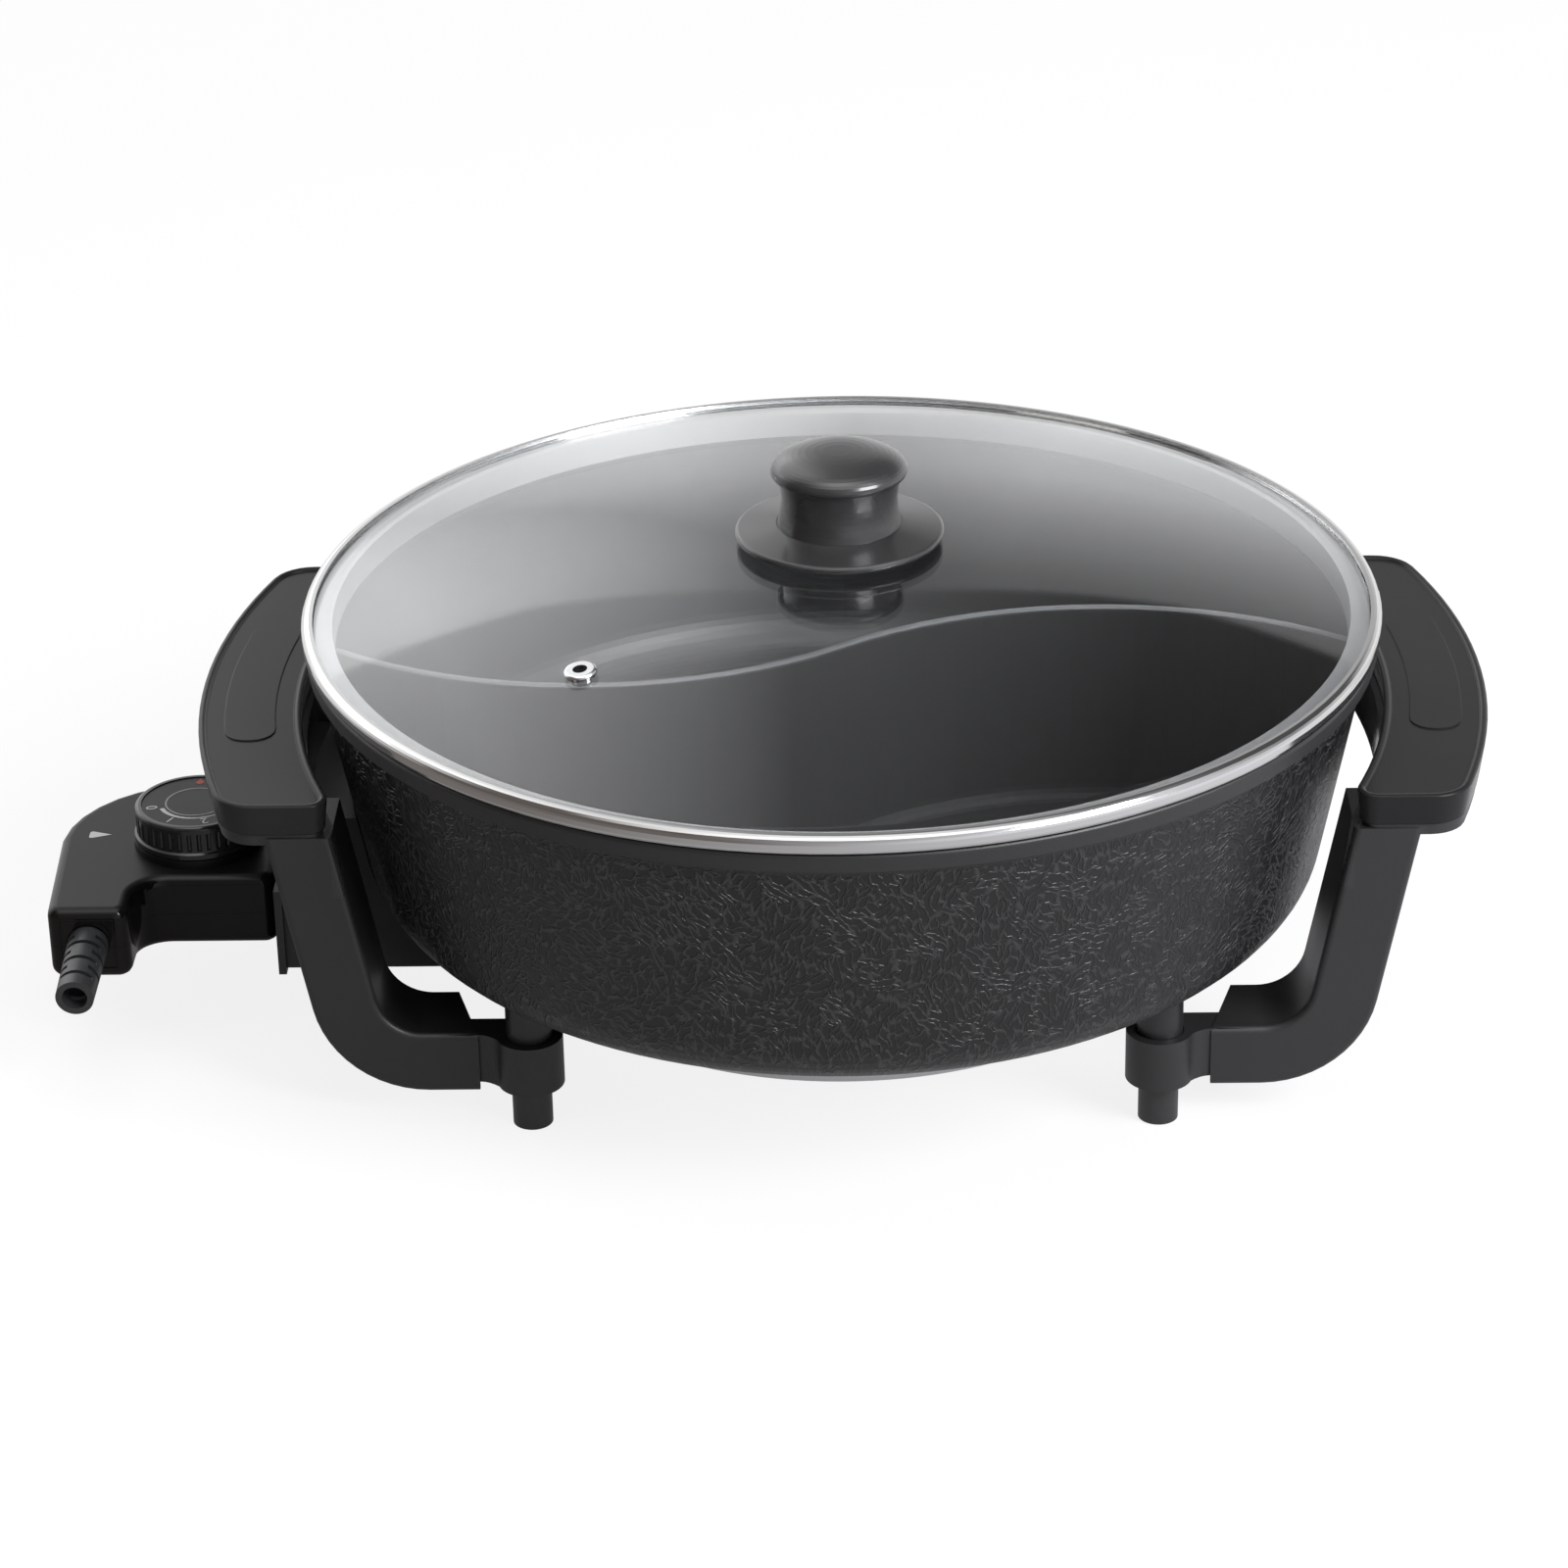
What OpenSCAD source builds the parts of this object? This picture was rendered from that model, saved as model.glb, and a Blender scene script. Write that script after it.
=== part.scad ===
// Divided electric hot pot: cast pan with an S-shaped divider, domed glass lid,
// two handles that carry the feet, heated base and a plug-in temperature controller.
// Origin: pan axis on the table. +X right, +Y back, +Z up. Millimetres.

/* [Pan] */
// Outer diameter of the pan's rim band
rim_d = 298; // [270:1:330]
// Height of the smooth rim band
rim_h = 6; // [4:0.5:9]
// How far the rim band stands out from the wall below it
rim_step = 2.5; // [1:0.5:4]
// Rounding of the rim's outer top edge
rim_edge_r = 1.2; // [0.5:0.1:2]
// Depth of the pan inside, from rim to cooking floor
pan_depth = 70; // [55:1:90]
// Thickness of the cast floor
floor_t = 9.4; // [6:0.2:12]
// Thickness of the cast side wall
wall_t = 4; // [3:0.2:5]
// Lean of the side wall from upright, in degrees
wall_draft = 10.7; // [6:0.1:13]
// Outside radius between wall and bottom
corner_r = 19; // [14:0.5:24]
// Inside radius between wall and floor
inner_corner_r = 14; // [10:0.5:18]
// Height of the pan's bottom above the table
pan_lift = 38.8; // [36:0.2:44]

/* [Divider] */
// Drop of the divider's top edge below the rim
divider_drop = 11.6; // [9:0.2:20]
// Thickness of the divider at its top edge
divider_t = 3.2; // [2:0.2:5]
// Lean of each divider face, in degrees
divider_draft = 2.5; // [1:0.5:4]
// Sideways bow of each half of the S
divider_bow = 24.5; // [15:0.5:32]
// Radius where the divider meets the floor
divider_root_r = 5; // [2:0.5:7]

/* [Feet and bosses] */
// Distance of the foot centres from the pan axis along X
foot_x = 86; // [82:0.5:90]
// Distance of the foot centres from the pan axis along Y
foot_y = 77.5; // [74:0.5:81]
// Diameter of a foot
foot_d = 11; // [10:0.2:14]
// Height of a foot
foot_h = 12.5; // [10:0.5:16]
// Diameter of the boss above a foot
boss_d = 18.4; // [17:0.2:22]
// Thickness of the floor in the boss
boss_floor_t = 5; // [3:0.5:7]
// Diameter of the pan's cast lug that drops into the boss
lug_d = 12.8; // [11:0.2:14]
// Diameter of the screw that joins foot, boss and lug
screw_d = 5; // [4:0.5:6]
// Diameter of the screw's head
screw_head_d = 8; // [7.2:0.2:8.4]
// Height of the screw's head
screw_head_h = 3; // [2:0.2:4]
// How far the screw's head sits above the table
screw_recess = 3; // [2:0.5:5]

/* [Legs] */
// Thickness of a leg, seen from the front
leg_t = 18; // [14:0.5:20]
// Depth of a leg from its front face
leg_w = 24.5; // [18:0.5:27]
// Wall of the leg's open channel
leg_wall = 3; // [2:0.2:4]
// Inside radius of the leg's bend
leg_bend_r = 13.5; // [8:0.5:18]
// Rounding of the leg's front edges
leg_edge_r = 2; // [1:0.2:3]
// How far the leg's front face stands in front of the foot's centre
leg_fore = 1; // [-0.5:0.5:2.5]
// Gap beside the pan's wall, from just under the rim to the leg's back edge
leg_gap = 5; // [3:0.5:9]
// Length of the neck from the foot's centre to the leg's end
neck_l = 14; // [12:0.5:18]
// Slant of the leg's end, from front to back
leg_end_slant = 7; // [2:0.5:8]
// Drop of the leg's underside below the boss
leg_drop = 3; // [1.5:0.5:6]

/* [Grips] */
// Gap between the lid's rim and the middle of the grip
grip_gap = 1; // [0.5:0.5:6]
// Radius of the grip's outer edge in plan
grip_r = 232; // [200:1:300]
// Width of the grip
grip_w = 28.5; // [25:0.5:32]
// How far the grip's ends stand past the front faces of the legs
grip_over = 1.2; // [1:0.1:5]
// Drop of the grip's top below the pan's rim
grip_drop = 19.7; // [15:0.1:24]
// Height of the grip's side wall
grip_h = 9; // [8:0.5:12]
// Wall of the grip's cap
grip_wall = 2.4; // [1.8:0.2:3]
// How far the grip's side wall leans in at its lower edge
grip_taper = 1; // [0.4:0.1:1.4]
// Depth of the frame's curved wall below the shoulder, on the pan's side
curtain_h = 15; // [8:0.5:18]
// Rounding of the grip's outer corners in plan
grip_corner_r = 12; // [7:0.5:15]
// Rounding of the grip's inner corners in plan
grip_inner_corner_r = 5.5; // [5:0.5:8]
// Width of the raised bead round the grip's top
bead_w = 2.2; // [1.4:0.2:3]
// Height of the raised bead
bead_h = 0.8; // [0.4:0.1:1.2]
// Width of the raised thumb panel on the grip
panel_w = 14; // [10:0.5:16]
// Length of the raised thumb panel
panel_l = 76; // [50:1:90]

/* [Lid] */
// How far the lid's steel rim stands out past the pan's rim
lid_overhang = 1; // [0.4:0.1:2.5]
// Sheet thickness of the steel rim
lid_sheet_t = 0.8; // [0.6:0.1:1]
// Width of the steel lip over the glass
lid_lip_w = 3.2; // [2.8:0.2:5]
// Depth of the skirt below the pan's rim
skirt_h = 7.5; // [4:0.5:8]
// Thickness of the glass
glass_t = 3; // [2.4:0.1:3.2]
// Rise of the glass dome over its edge
glass_rise = 18; // [8:0.5:25]
// X of the steam vent
vent_x = -68.5; // [-90:0.5:-50]
// Y of the steam vent
vent_y = -69.5; // [-80:0.5:-50]
// Hole through the steam vent
vent_d = 4; // [3:0.2:5]
// Diameter of the vent's flange
vent_flange_d = 9; // [8:0.2:11]

/* [Knob] */
// Diameter of the knob's head
knob_d = 38; // [34:0.2:44]
// Height of the knob above its base plate
knob_h = 21; // [18:0.5:26]
// Height of the knob's flattened head
knob_head_h = 7; // [5:0.5:9]
// How far the middle of the neck stands in from the head's edge
knob_step = 2.8; // [2.6:0.2:5]
// Diameter of the knob's base plate
knob_base_d = 58; // [50:0.5:64]
// Thickness of the knob's base plate beside the neck
knob_base_t = 3.8; // [3:0.2:5]
// Fall of the base plate's top toward its edge
knob_base_fall = 1.6; // [0.8:0.2:2]
// Thickness of the gasket under the base plate
gasket_t = 1; // [0.6:0.2:2]

/* [Heated base] */
// Diameter of the base cover
base_d = 188; // [176:1:196]
// Height of the base cover's underside above the table
base_z = 19.2; // [16:0.2:21]
// Sheet thickness of the base cover
base_sheet_t = 1.2; // [0.8:0.1:1.6]
// Rounding of the base cover's lower edge
base_edge_r = 4; // [2:0.5:5]
// Radius of the heating ring
ring_r = 68; // [62:1:74]
// Diameter of the heating tube
tube_d = 6.6; // [6:0.2:8]
// Radius of the bends where the heating tube turns out to its terminals
tube_bend_r = 9; // [7:0.5:10]
// Height of the heating tube and of the plug axis above the table
plug_z = 31; // [30.4:0.1:31.6]
// Distance of each terminal from the plug axis
pin_y = 12; // [11:0.5:13]
// Diameter of a terminal pin
pin_d = 5; // [4:0.2:5.4]
// Diameter of the sensor probe
probe_d = 6.3; // [5:0.1:7]

/* [Inlet guard] */
// Half width of the inlet guard
guard_half_w = 31; // [29:0.5:34]
// Wall of the inlet guard
guard_wall = 2.2; // [1.8:0.2:3]
// Height of the guard's underside above the table
guard_z = 23; // [21:0.2:23.4]
// Height of the guard's lower box
guard_box_h = 25; // [24.6:0.2:28]
// Gap between the guard's tower and the frame's curved wall above it
guard_tower_gap = 1; // [0.5:0.5:4]
// How far the guard's mouth stands out past the pan's rim
guard_reach = 11; // [9:0.5:13]

/* [Controller] */
// Length of the controller from its end at the guard to its outer side
ctrl_l = 64.2; // [60:0.2:72]
// Gap between the controller's end and the guard's mouth
plug_gap = 1; // [0.6:0.2:3]
// Height of the controller's underside above the table
ctrl_z = 26; // [25.6:0.2:27]
// Height of the controller's housing
ctrl_h = 21.6; // [20:0.2:23]
// Height of the parting line above the underside
ctrl_split = 10; // [8:0.5:12]
// Front wall of the arm
ctrl_front_y = -22.5; // [-24:0.5:-21.5]
// Width of the cord end
cord_end_w = 22.8; // [20:0.2:26]
// How far the cord end's outer side stands in from the controller's outer side
cord_end_in = 2.4; // [0.6:0.2:4]
// Y of the cord end's face
cord_end_y = -42; // [-50:0.5:-38]
// Wall of the controller's housing
ctrl_wall = 2.2; // [1.8:0.2:2.6]
// Rounding of the housing's edges
ctrl_edge_r = 3; // [1.5:0.5:4]
// Radius of the round back behind the dial
ctrl_corner_r = 36; // [32:0.5:38]

/* [Dial] */
// Distance of the dial's axis from the controller's end at the guard
dial_in = 24; // [22:0.5:29]
// Y of the dial's axis
dial_y = 1; // [-2:0.5:4]
// Diameter of the dial
dial_d = 35; // [30:0.5:37]
// Height of the dial
dial_h = 9.8; // [8:0.2:12]
// Number of grip ribs on the dial
dial_ribs = 40; // [24:1:48]
// Diameter of the dial's shaft
dial_shaft_d = 6; // [5:0.2:7]
// Height of the collar under the dial
collar_h = 2.4; // [1.6:0.2:3]

/* [Strain relief] */
// Diameter of the strain relief at its root
relief_root_d = 11.5; // [10.8:0.1:12]
// Diameter of the strain relief at its tip
relief_tip_d = 10.6; // [9.6:0.1:10.8]
// Length of the strain relief outside the housing
relief_l = 27; // [22:0.5:36]
// Hole for the cord
cord_hole_d = 7; // [6:0.1:7.4]
// Number of slotted segments
relief_segments = 3; // [2:1:4]

/* [Fits] */
// Gap between the lid's rim and the pan's rim
lid_gap = 0.3; // [0.2:0.05:0.5]
// Gap between mouldings that seat on each other
seat_gap = 0.3; // [0.2:0.05:0.5]
// Radial clearance of turning and plugging parts
run_gap = 0.07; // [0.03:0.01:0.1]
// Radial clearance of screws in their holes
screw_gap = 0.15; // [0.1:0.05:0.3]

/* [Hidden] */
$fn = 64;

// Heights that follow from the driving sizes
floor_z = pan_lift + floor_t;
rim_z = floor_z + pan_depth;
lid_z = rim_z + lid_gap;
lid_top = lid_z + glass_t + 2 * lid_sheet_t + 1.5 * seat_gap;
boss_z = foot_h;
lug_z = boss_z + boss_floor_t;
leg_z = boss_z - leg_drop;
grip_top = rim_z - grip_drop;
bar_top = grip_top - bead_h - grip_wall;
bar_z = grip_top - grip_h;
shoulder_top = bar_z - seat_gap;
shoulder_t = 3;
shoulder_z = shoulder_top - shoulder_t;
ctrl_top = ctrl_z + ctrl_h;
split_z = ctrl_z + ctrl_split;
dial_z = ctrl_top + collar_h + seat_gap;

// Places along X and Y that follow from the pan, outward to the grips and the controller
lid_d = rim_d + 2 * lid_overhang;
leg_y = foot_y + leg_fore;
leg_end_x = foot_x + neck_l;
grip_x = lid_d / 2 + grip_gap + grip_w;
grip_l = 2 * (leg_y + grip_over);
guard_mouth_x = -rim_d / 2 - guard_reach;
ctrl_right_x = guard_mouth_x - plug_gap;
ctrl_x = ctrl_right_x - ctrl_l;
dial_x = ctrl_right_x - dial_in;

// Points on an arc, from angle a0 to angle a1
function arc_pts(c, r, a0, a1, n = 8) =
    [for (i = [0:n]) c + r * [cos(a0 + (a1 - a0) * i / n), sin(a0 + (a1 - a0) * i / n)]];

// Places one child in each of the four corners where the feet stand
module at_corners() {
    for (sx = [-1, 1], sy = [-1, 1])
        translate([sx * foot_x, sy * foot_y, 0])
            children();
}

// Solid through a row of rings with equal, even point counts, each ring a list of points in space.
// Point j of a ring lies across from point n - 1 - j, so the end faces are strips between the two.
module loft(rings) {
    n = len(rings[0]);
    m = len(rings);
    polyhedron(
        points = [for (r = rings) each r],
        faces = concat(
            [for (j = [0:n / 2 - 2]) [j, j + 1, n - 2 - j, n - 1 - j]],
            [for (i = [0:m - 2]) for (j = [0:n - 1])
                [i * n + j, (i + 1) * n + j, (i + 1) * n + (j + 1) % n, i * n + (j + 1) % n]],
            [for (j = [0:n / 2 - 2]) [for (k = [n - 1 - j, n - 2 - j, j + 1, j]) (m - 1) * n + k]]));
}

// Plan outline lifted to height z
function ring_at(outline, z) = [for (p = outline) [p[0], p[1], z]];

// Outside and inside radius of the pan's wall at height z, and the centres of its corner arcs
function wall_x(z) = rim_d / 2 - rim_step - (rim_z - rim_h - z) * tan(wall_draft);
function wall_in(z) = wall_x(z) - wall_t / cos(wall_draft);
outer_c = [wall_x(pan_lift + corner_r) - corner_r / cos(wall_draft), pan_lift + corner_r];
inner_c = [wall_in(floor_z + inner_corner_r) - inner_corner_r / cos(wall_draft), floor_z + inner_corner_r];

// Pan outline from its axis, out round the corner and up to just under the rim, grown by gap
function pan_outside(gap = 0) = concat(
    [[0, pan_lift - gap]],
    arc_pts(outer_c, corner_r + gap, -90, -wall_draft, 10),
    [[wall_x(rim_z - rim_h) + gap / cos(wall_draft), rim_z - rim_h]]);

// The wall and its corners stop where the flat floor begins
floor_r = min(outer_c[0], inner_c[0]) - 0.2;

module pan() {
    color([0.08, 0.08, 0.09])
        rotate([0, 0, 90])
            rotate_extrude()
                polygon(concat(
                    [[floor_r, pan_lift]],
                    arc_pts(outer_c, corner_r, -90, -wall_draft, 10),
                    [[wall_x(rim_z - rim_h), rim_z - rim_h], [rim_d / 2, rim_z - rim_h + rim_edge_r]],
                    arc_pts([rim_d / 2 - rim_edge_r, rim_z - rim_edge_r], rim_edge_r, 0, 90, 4),
                    [[wall_in(rim_z), rim_z]],
                    arc_pts(inner_c, inner_corner_r, -wall_draft, -90, 10),
                    [[floor_r, floor_z]]));
}

// The S is two equal arcs that meet on the pan's axis and run into its wall
divider_top = rim_z - divider_drop;
divider_reach = wall_in(divider_top) / 2;
divider_r = (pow(divider_reach, 2) + pow(divider_bow, 2)) / (2 * divider_bow);
divider_half_a = asin(divider_reach / divider_r);
divider_over_a = 4;
divider_end_a = divider_half_a + divider_over_a;
divider_steps = 18;
divider_step_a = (2 * divider_half_a + divider_over_a) / divider_steps;
root_sink = 0.3;
divider_root = divider_t / 2 + (divider_top - floor_z) * tan(divider_draft);

// Section of the divider: rounded top edge, leaning faces and a radius at the floor
divider_side = concat(
    [[divider_root + divider_root_r + 1, floor_z - floor_t / 2]],
    arc_pts([divider_root + divider_root_r, floor_z + divider_root_r - root_sink], divider_root_r, 270, 180, 5),
    arc_pts([0, divider_top - divider_t / 2], divider_t / 2, 0, 72, 4));
divider_section = concat(
    [for (p = divider_side) [-p[0], p[1]]],
    [for (i = [len(divider_side) - 1:-1:0]) divider_side[i]]);

// The section at angle t of the arc on the right, or at its mate through the axis on the left
function divider_ring(t, side) = let (
        out = [cos(t), sin(t)],
        at = side * ([divider_reach, divider_bow - divider_r] + divider_r * out))
    [for (p = divider_section) [at[0] + p[0] * out[0], at[1] + p[0] * out[1], p[1]]];

module divider() {
    color([0.08, 0.08, 0.09])
        intersection() {
            loft(concat(
                [for (i = [0:divider_steps]) divider_ring(90 - divider_end_a + divider_step_a * i, 1)],
                [for (i = [divider_steps - 1:-1:0]) divider_ring(90 - divider_end_a + divider_step_a * i, -1)]));
            rotate([0, 0, 90])
                rotate_extrude()
                    polygon(concat(
                        [[0, floor_z]],
                        arc_pts(inner_c, inner_corner_r, -90, -wall_draft, 10),
                        [[wall_in(rim_z), rim_z], [0, rim_z]]));
        }
}

// The guard's screws sit midway between the base cover and the edge of the flat floor
guard_screw_r = (base_d / 2 + floor_r) / 2;
guard_screw_y = 24;
guard_screw_x = -sqrt(pow(guard_screw_r, 2) - pow(guard_screw_y, 2));
guard_screw_d = 4;
guard_tab_half = 6;
small_head_h = 2.4;
small_bite = 5;
guard_tab_t = guard_wall;
guard_boss_z = plug_z + 5;
centre_boss_d = 16;
cover_screw_d = 5;
cover_bite = 12;

// Flat floor with the bosses for the base cover and the guard
module pan_floor() {
    color([0.08, 0.08, 0.09])
        difference() {
            union() {
                translate([0, 0, pan_lift])
                    cylinder(r = floor_r, h = floor_t);
                translate([0, 0, base_z + base_sheet_t])
                    cylinder(d = centre_boss_d, h = floor_z - floor_t / 2 - base_z - base_sheet_t);
                for (sy = [-1, 1])
                    translate([guard_screw_x, sy * guard_screw_y, guard_boss_z])
                        cylinder(d = 2.2 * guard_screw_d, h = floor_z - floor_t / 2 - guard_boss_z);
            }
            translate([0, 0, base_z])
                cylinder(d = cover_screw_d + 2 * screw_gap, h = cover_bite + 2);
            for (sy = [-1, 1])
                translate([guard_screw_x, sy * guard_screw_y, guard_boss_z - 1])
                    cylinder(d = guard_screw_d + 2 * screw_gap, h = floor_z - floor_t / 2 - guard_boss_z);
        }
}

// Studs under the floor that drop into the bosses of the handle frames
module pan_lugs() {
    color([0.08, 0.08, 0.09])
        at_corners()
            translate([0, 0, lug_z])
                difference() {
                    cylinder(d = lug_d, h = pan_lift - lug_z);
                    translate([0, 0, -1])
                        cylinder(d = screw_d + 2 * screw_gap, h = pan_lift - lug_z);
                }
}

window_half_w = pin_y + tube_bend_r + 1;

module base_cover() {
    color([0.78, 0.78, 0.79])
        difference() {
            rotate_extrude()
                polygon(concat(
                    [[0, base_z]],
                    arc_pts([base_d / 2 - base_edge_r, base_z + base_edge_r], base_edge_r, -90, 0, 6),
                    [[base_d / 2, pan_lift], [base_d / 2 - base_sheet_t, pan_lift]],
                    arc_pts([base_d / 2 - base_edge_r, base_z + base_edge_r], base_edge_r - base_sheet_t, 0, -90, 6),
                    [[0, base_z + base_sheet_t]]));
            translate([-base_d, -window_half_w, plug_z - 6])
                cube([base_d - 60, 2 * window_half_w, pan_lift - plug_z + 7]);
            translate([0, 0, base_z - 1])
                cylinder(d = cover_screw_d + 2 * screw_gap, h = 4);
        }
}

module cover_screw() {
    color([0.7, 0.7, 0.7])
        translate([0, 0, base_z]) {
            translate([0, 0, -screw_head_h])
                cylinder(d = 2 * cover_screw_d, h = screw_head_h);
            cylinder(d = cover_screw_d, h = cover_bite);
        }
}

plate_in_r = ring_r - 16;
plate_out_r = ring_r + 16;
plate_z = plug_z - 5;

module heater_plate() {
    color([0.7, 0.7, 0.72])
        difference() {
            translate([0, 0, plate_z])
                difference() {
                    cylinder(r = plate_out_r, h = pan_lift - plate_z);
                    translate([0, 0, -1])
                        cylinder(r = plate_in_r, h = pan_lift - plate_z + 2);
                }
            rotate_extrude()
                translate([ring_r, 0]) {
                    translate([0, plug_z])
                        circle(d = tube_d + 2 * screw_gap);
                    translate([-tube_d / 2 - screw_gap, plate_z - 1])
                        square([tube_d + 2 * screw_gap, plug_z - plate_z + 1]);
                }
            translate([-2 * plate_out_r, -window_half_w, plate_z - 1])
                cube([2 * plate_out_r, 2 * window_half_w, pan_lift - plate_z + 2]);
        }
}

// The ring stops where a bend of tube_bend_r, tangent to it, runs out along each terminal's line
ring_open_a = asin((pin_y + tube_bend_r) / (ring_r + tube_bend_r));
bend_x = -(ring_r + tube_bend_r) * cos(ring_open_a);
cold_end_x = -base_d / 2 - 8;
pin_tip_x = guard_mouth_x + 6;

module heating_element() {
    color([0.45, 0.42, 0.4])
        translate([0, 0, plug_z])
            rotate([0, 0, ring_open_a - 180])
                rotate_extrude(angle = 360 - 2 * ring_open_a)
                    translate([ring_r, 0])
                        circle(d = tube_d);
}

// Cold ends welded to the ring: a bend, a thick leg and a bare pin each
module terminal_pins() {
    color([0.6, 0.6, 0.6])
        translate([0, 0, plug_z])
            for (m = [0, 1])
                mirror([0, m, 0]) {
                    translate([bend_x, pin_y + tube_bend_r, 0])
                        rotate([0, 0, -90])
                            rotate_extrude(angle = 90 - ring_open_a)
                                translate([tube_bend_r, 0])
                                    rotate(90)
                                        circle(d = tube_d);
                    translate([cold_end_x, pin_y, 0])
                        rotate([0, 90, 0])
                            cylinder(d = tube_d, h = bend_x - cold_end_x);
                    translate([pin_tip_x, pin_y, 0])
                        rotate([0, 90, 0])
                            cylinder(d = pin_d, h = cold_end_x - pin_tip_x);
                }
}

insulator_l = 8;

module terminal_insulators() {
    color([0.92, 0.9, 0.85])
        for (sy = [-1, 1])
            translate([cold_end_x - insulator_l - seat_gap, sy * pin_y, plug_z])
                rotate([0, 90, 0])
                    difference() {
                        cylinder(d = tube_d + 3, h = insulator_l);
                        translate([0, 0, -1])
                            cylinder(d = pin_d + 2 * screw_gap, h = insulator_l + 2);
                    }
}

socket_w = 13;
socket_l = 34;
socket_x = -base_d / 2 + 2;
probe_tip_x = socket_x + socket_l - 10;

module probe_socket() {
    color([0.7, 0.7, 0.72])
        difference() {
            translate([socket_x, -socket_w / 2, plug_z - 5])
                cube([socket_l, socket_w, pan_lift - plug_z + 5]);
            translate([socket_x - 1, 0, plug_z])
                rotate([0, 90, 0])
                    cylinder(d = probe_d + 2 * run_gap, h = socket_l - 4);
        }
}

// Side outline of the guard, shrunk by d: a low box with a tower that stands against the pan
guard_step = 3;
guard_base_gap = 3;
guard_tower_x = guard_mouth_x + guard_step;
guard_in_x = -base_d / 2 - guard_base_gap;
guard_box_top = guard_z + guard_box_h;
guard_top = shoulder_z - curtain_h - guard_tower_gap;

function guard_outline(d) = [
    [guard_mouth_x + d, guard_z + d], [guard_in_x - d, guard_z + d],
    [guard_in_x - d, guard_top - d], [guard_tower_x + d, guard_top - d],
    [guard_tower_x + d, guard_box_top - d], [guard_mouth_x + d, guard_box_top - d]];

module guard_slab(d) {
    translate([0, guard_half_w - d, 0])
        rotate([90, 0, 0])
            linear_extrude(2 * (guard_half_w - d))
                polygon(guard_outline(d));
}

guard_lip = 1.4;

module inlet_guard() {
    mouth_half_w = guard_half_w - guard_wall;
    color([0.06, 0.06, 0.06])
        difference() {
            union() {
                difference() {
                    union() {
                        guard_slab(0);
                        translate([guard_mouth_x, -guard_half_w - guard_lip, guard_z - guard_lip])
                            cube([guard_wall, 2 * (guard_half_w + guard_lip), guard_box_h + guard_lip]);
                    }
                    guard_slab(guard_wall);
                    translate([guard_mouth_x - 1, -mouth_half_w, guard_z + guard_wall])
                        cube([guard_wall + 2, 2 * mouth_half_w, guard_box_h - 2 * guard_wall]);
                    translate([guard_in_x - guard_wall - 1, -mouth_half_w, guard_z + guard_wall])
                        cube([guard_wall + 2, 2 * mouth_half_w, guard_box_h]);
                }
                for (m = [0, 1])
                    mirror([0, m, 0])
                        translate([guard_screw_x - guard_tab_half, guard_screw_y - guard_tab_half, guard_boss_z - guard_tab_t])
                            cube([2 * guard_tab_half, guard_half_w - guard_wall / 2 - guard_screw_y + guard_tab_half,
                                guard_tab_t]);
            }
            rotate_extrude()
                polygon(concat(pan_outside(seat_gap), [[0, rim_z - rim_h]]));
            for (sy = [-1, 1])
                translate([guard_screw_x, sy * guard_screw_y, guard_z - 5]) {
                    cylinder(d = guard_screw_d + 2 * screw_gap, h = guard_box_h);
                    cylinder(d = 2.2 * guard_screw_d, h = 5 + 2 * guard_wall);
                }
        }
}

module guard_screws() {
    color([0.7, 0.7, 0.7])
        for (sy = [-1, 1])
            translate([guard_screw_x, sy * guard_screw_y, guard_boss_z - guard_tab_t]) {
                translate([0, 0, -small_head_h])
                    cylinder(d = 1.8 * guard_screw_d, h = small_head_h);
                cylinder(d = guard_screw_d, h = guard_tab_t + small_bite);
            }
}

leg_bend_z = leg_z + leg_t + leg_bend_r;
leg_wall_x = sqrt(pow(wall_x(rim_z - rim_h), 2) - pow(leg_y - leg_w, 2)) + leg_gap;
leg_bend_x = leg_wall_x - leg_bend_r / cos(wall_draft) - (rim_z - rim_h - leg_bend_z) * tan(wall_draft);
leg_top = shoulder_top - 1;
leg_steps = 12;

// Section of a leg, square behind and rounded in front: distance from the bend's centre, then Y
leg_section = concat(
    [[leg_bend_r + leg_t, leg_w - leg_y], [leg_bend_r, leg_w - leg_y]],
    arc_pts([leg_bend_r + leg_edge_r, leg_edge_r - leg_y], leg_edge_r, 180, 270, 4),
    arc_pts([leg_bend_r + leg_t - leg_edge_r, leg_edge_r - leg_y], leg_edge_r, 270, 360, 4));

// A section point turned to angle a of the bend and moved s along the leg's run
function leg_point(p, a, s) = [leg_bend_x + p[0] * cos(a) - s * sin(a), p[1],
    leg_bend_z + p[0] * sin(a) + s * cos(a)];
function leg_ring(a, s = 0) = [for (p = leg_section) leg_point(p, a, s)];

// Distance along the straight run at which a line at radius r of the bend reaches height z
function leg_run(r, z) = (z - leg_bend_z + r * sin(wall_draft)) / cos(wall_draft);

// X of the leg's slanted end at depth y
function leg_end_at(y) = leg_end_x + leg_end_slant * (y + leg_y) / leg_w;

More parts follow.
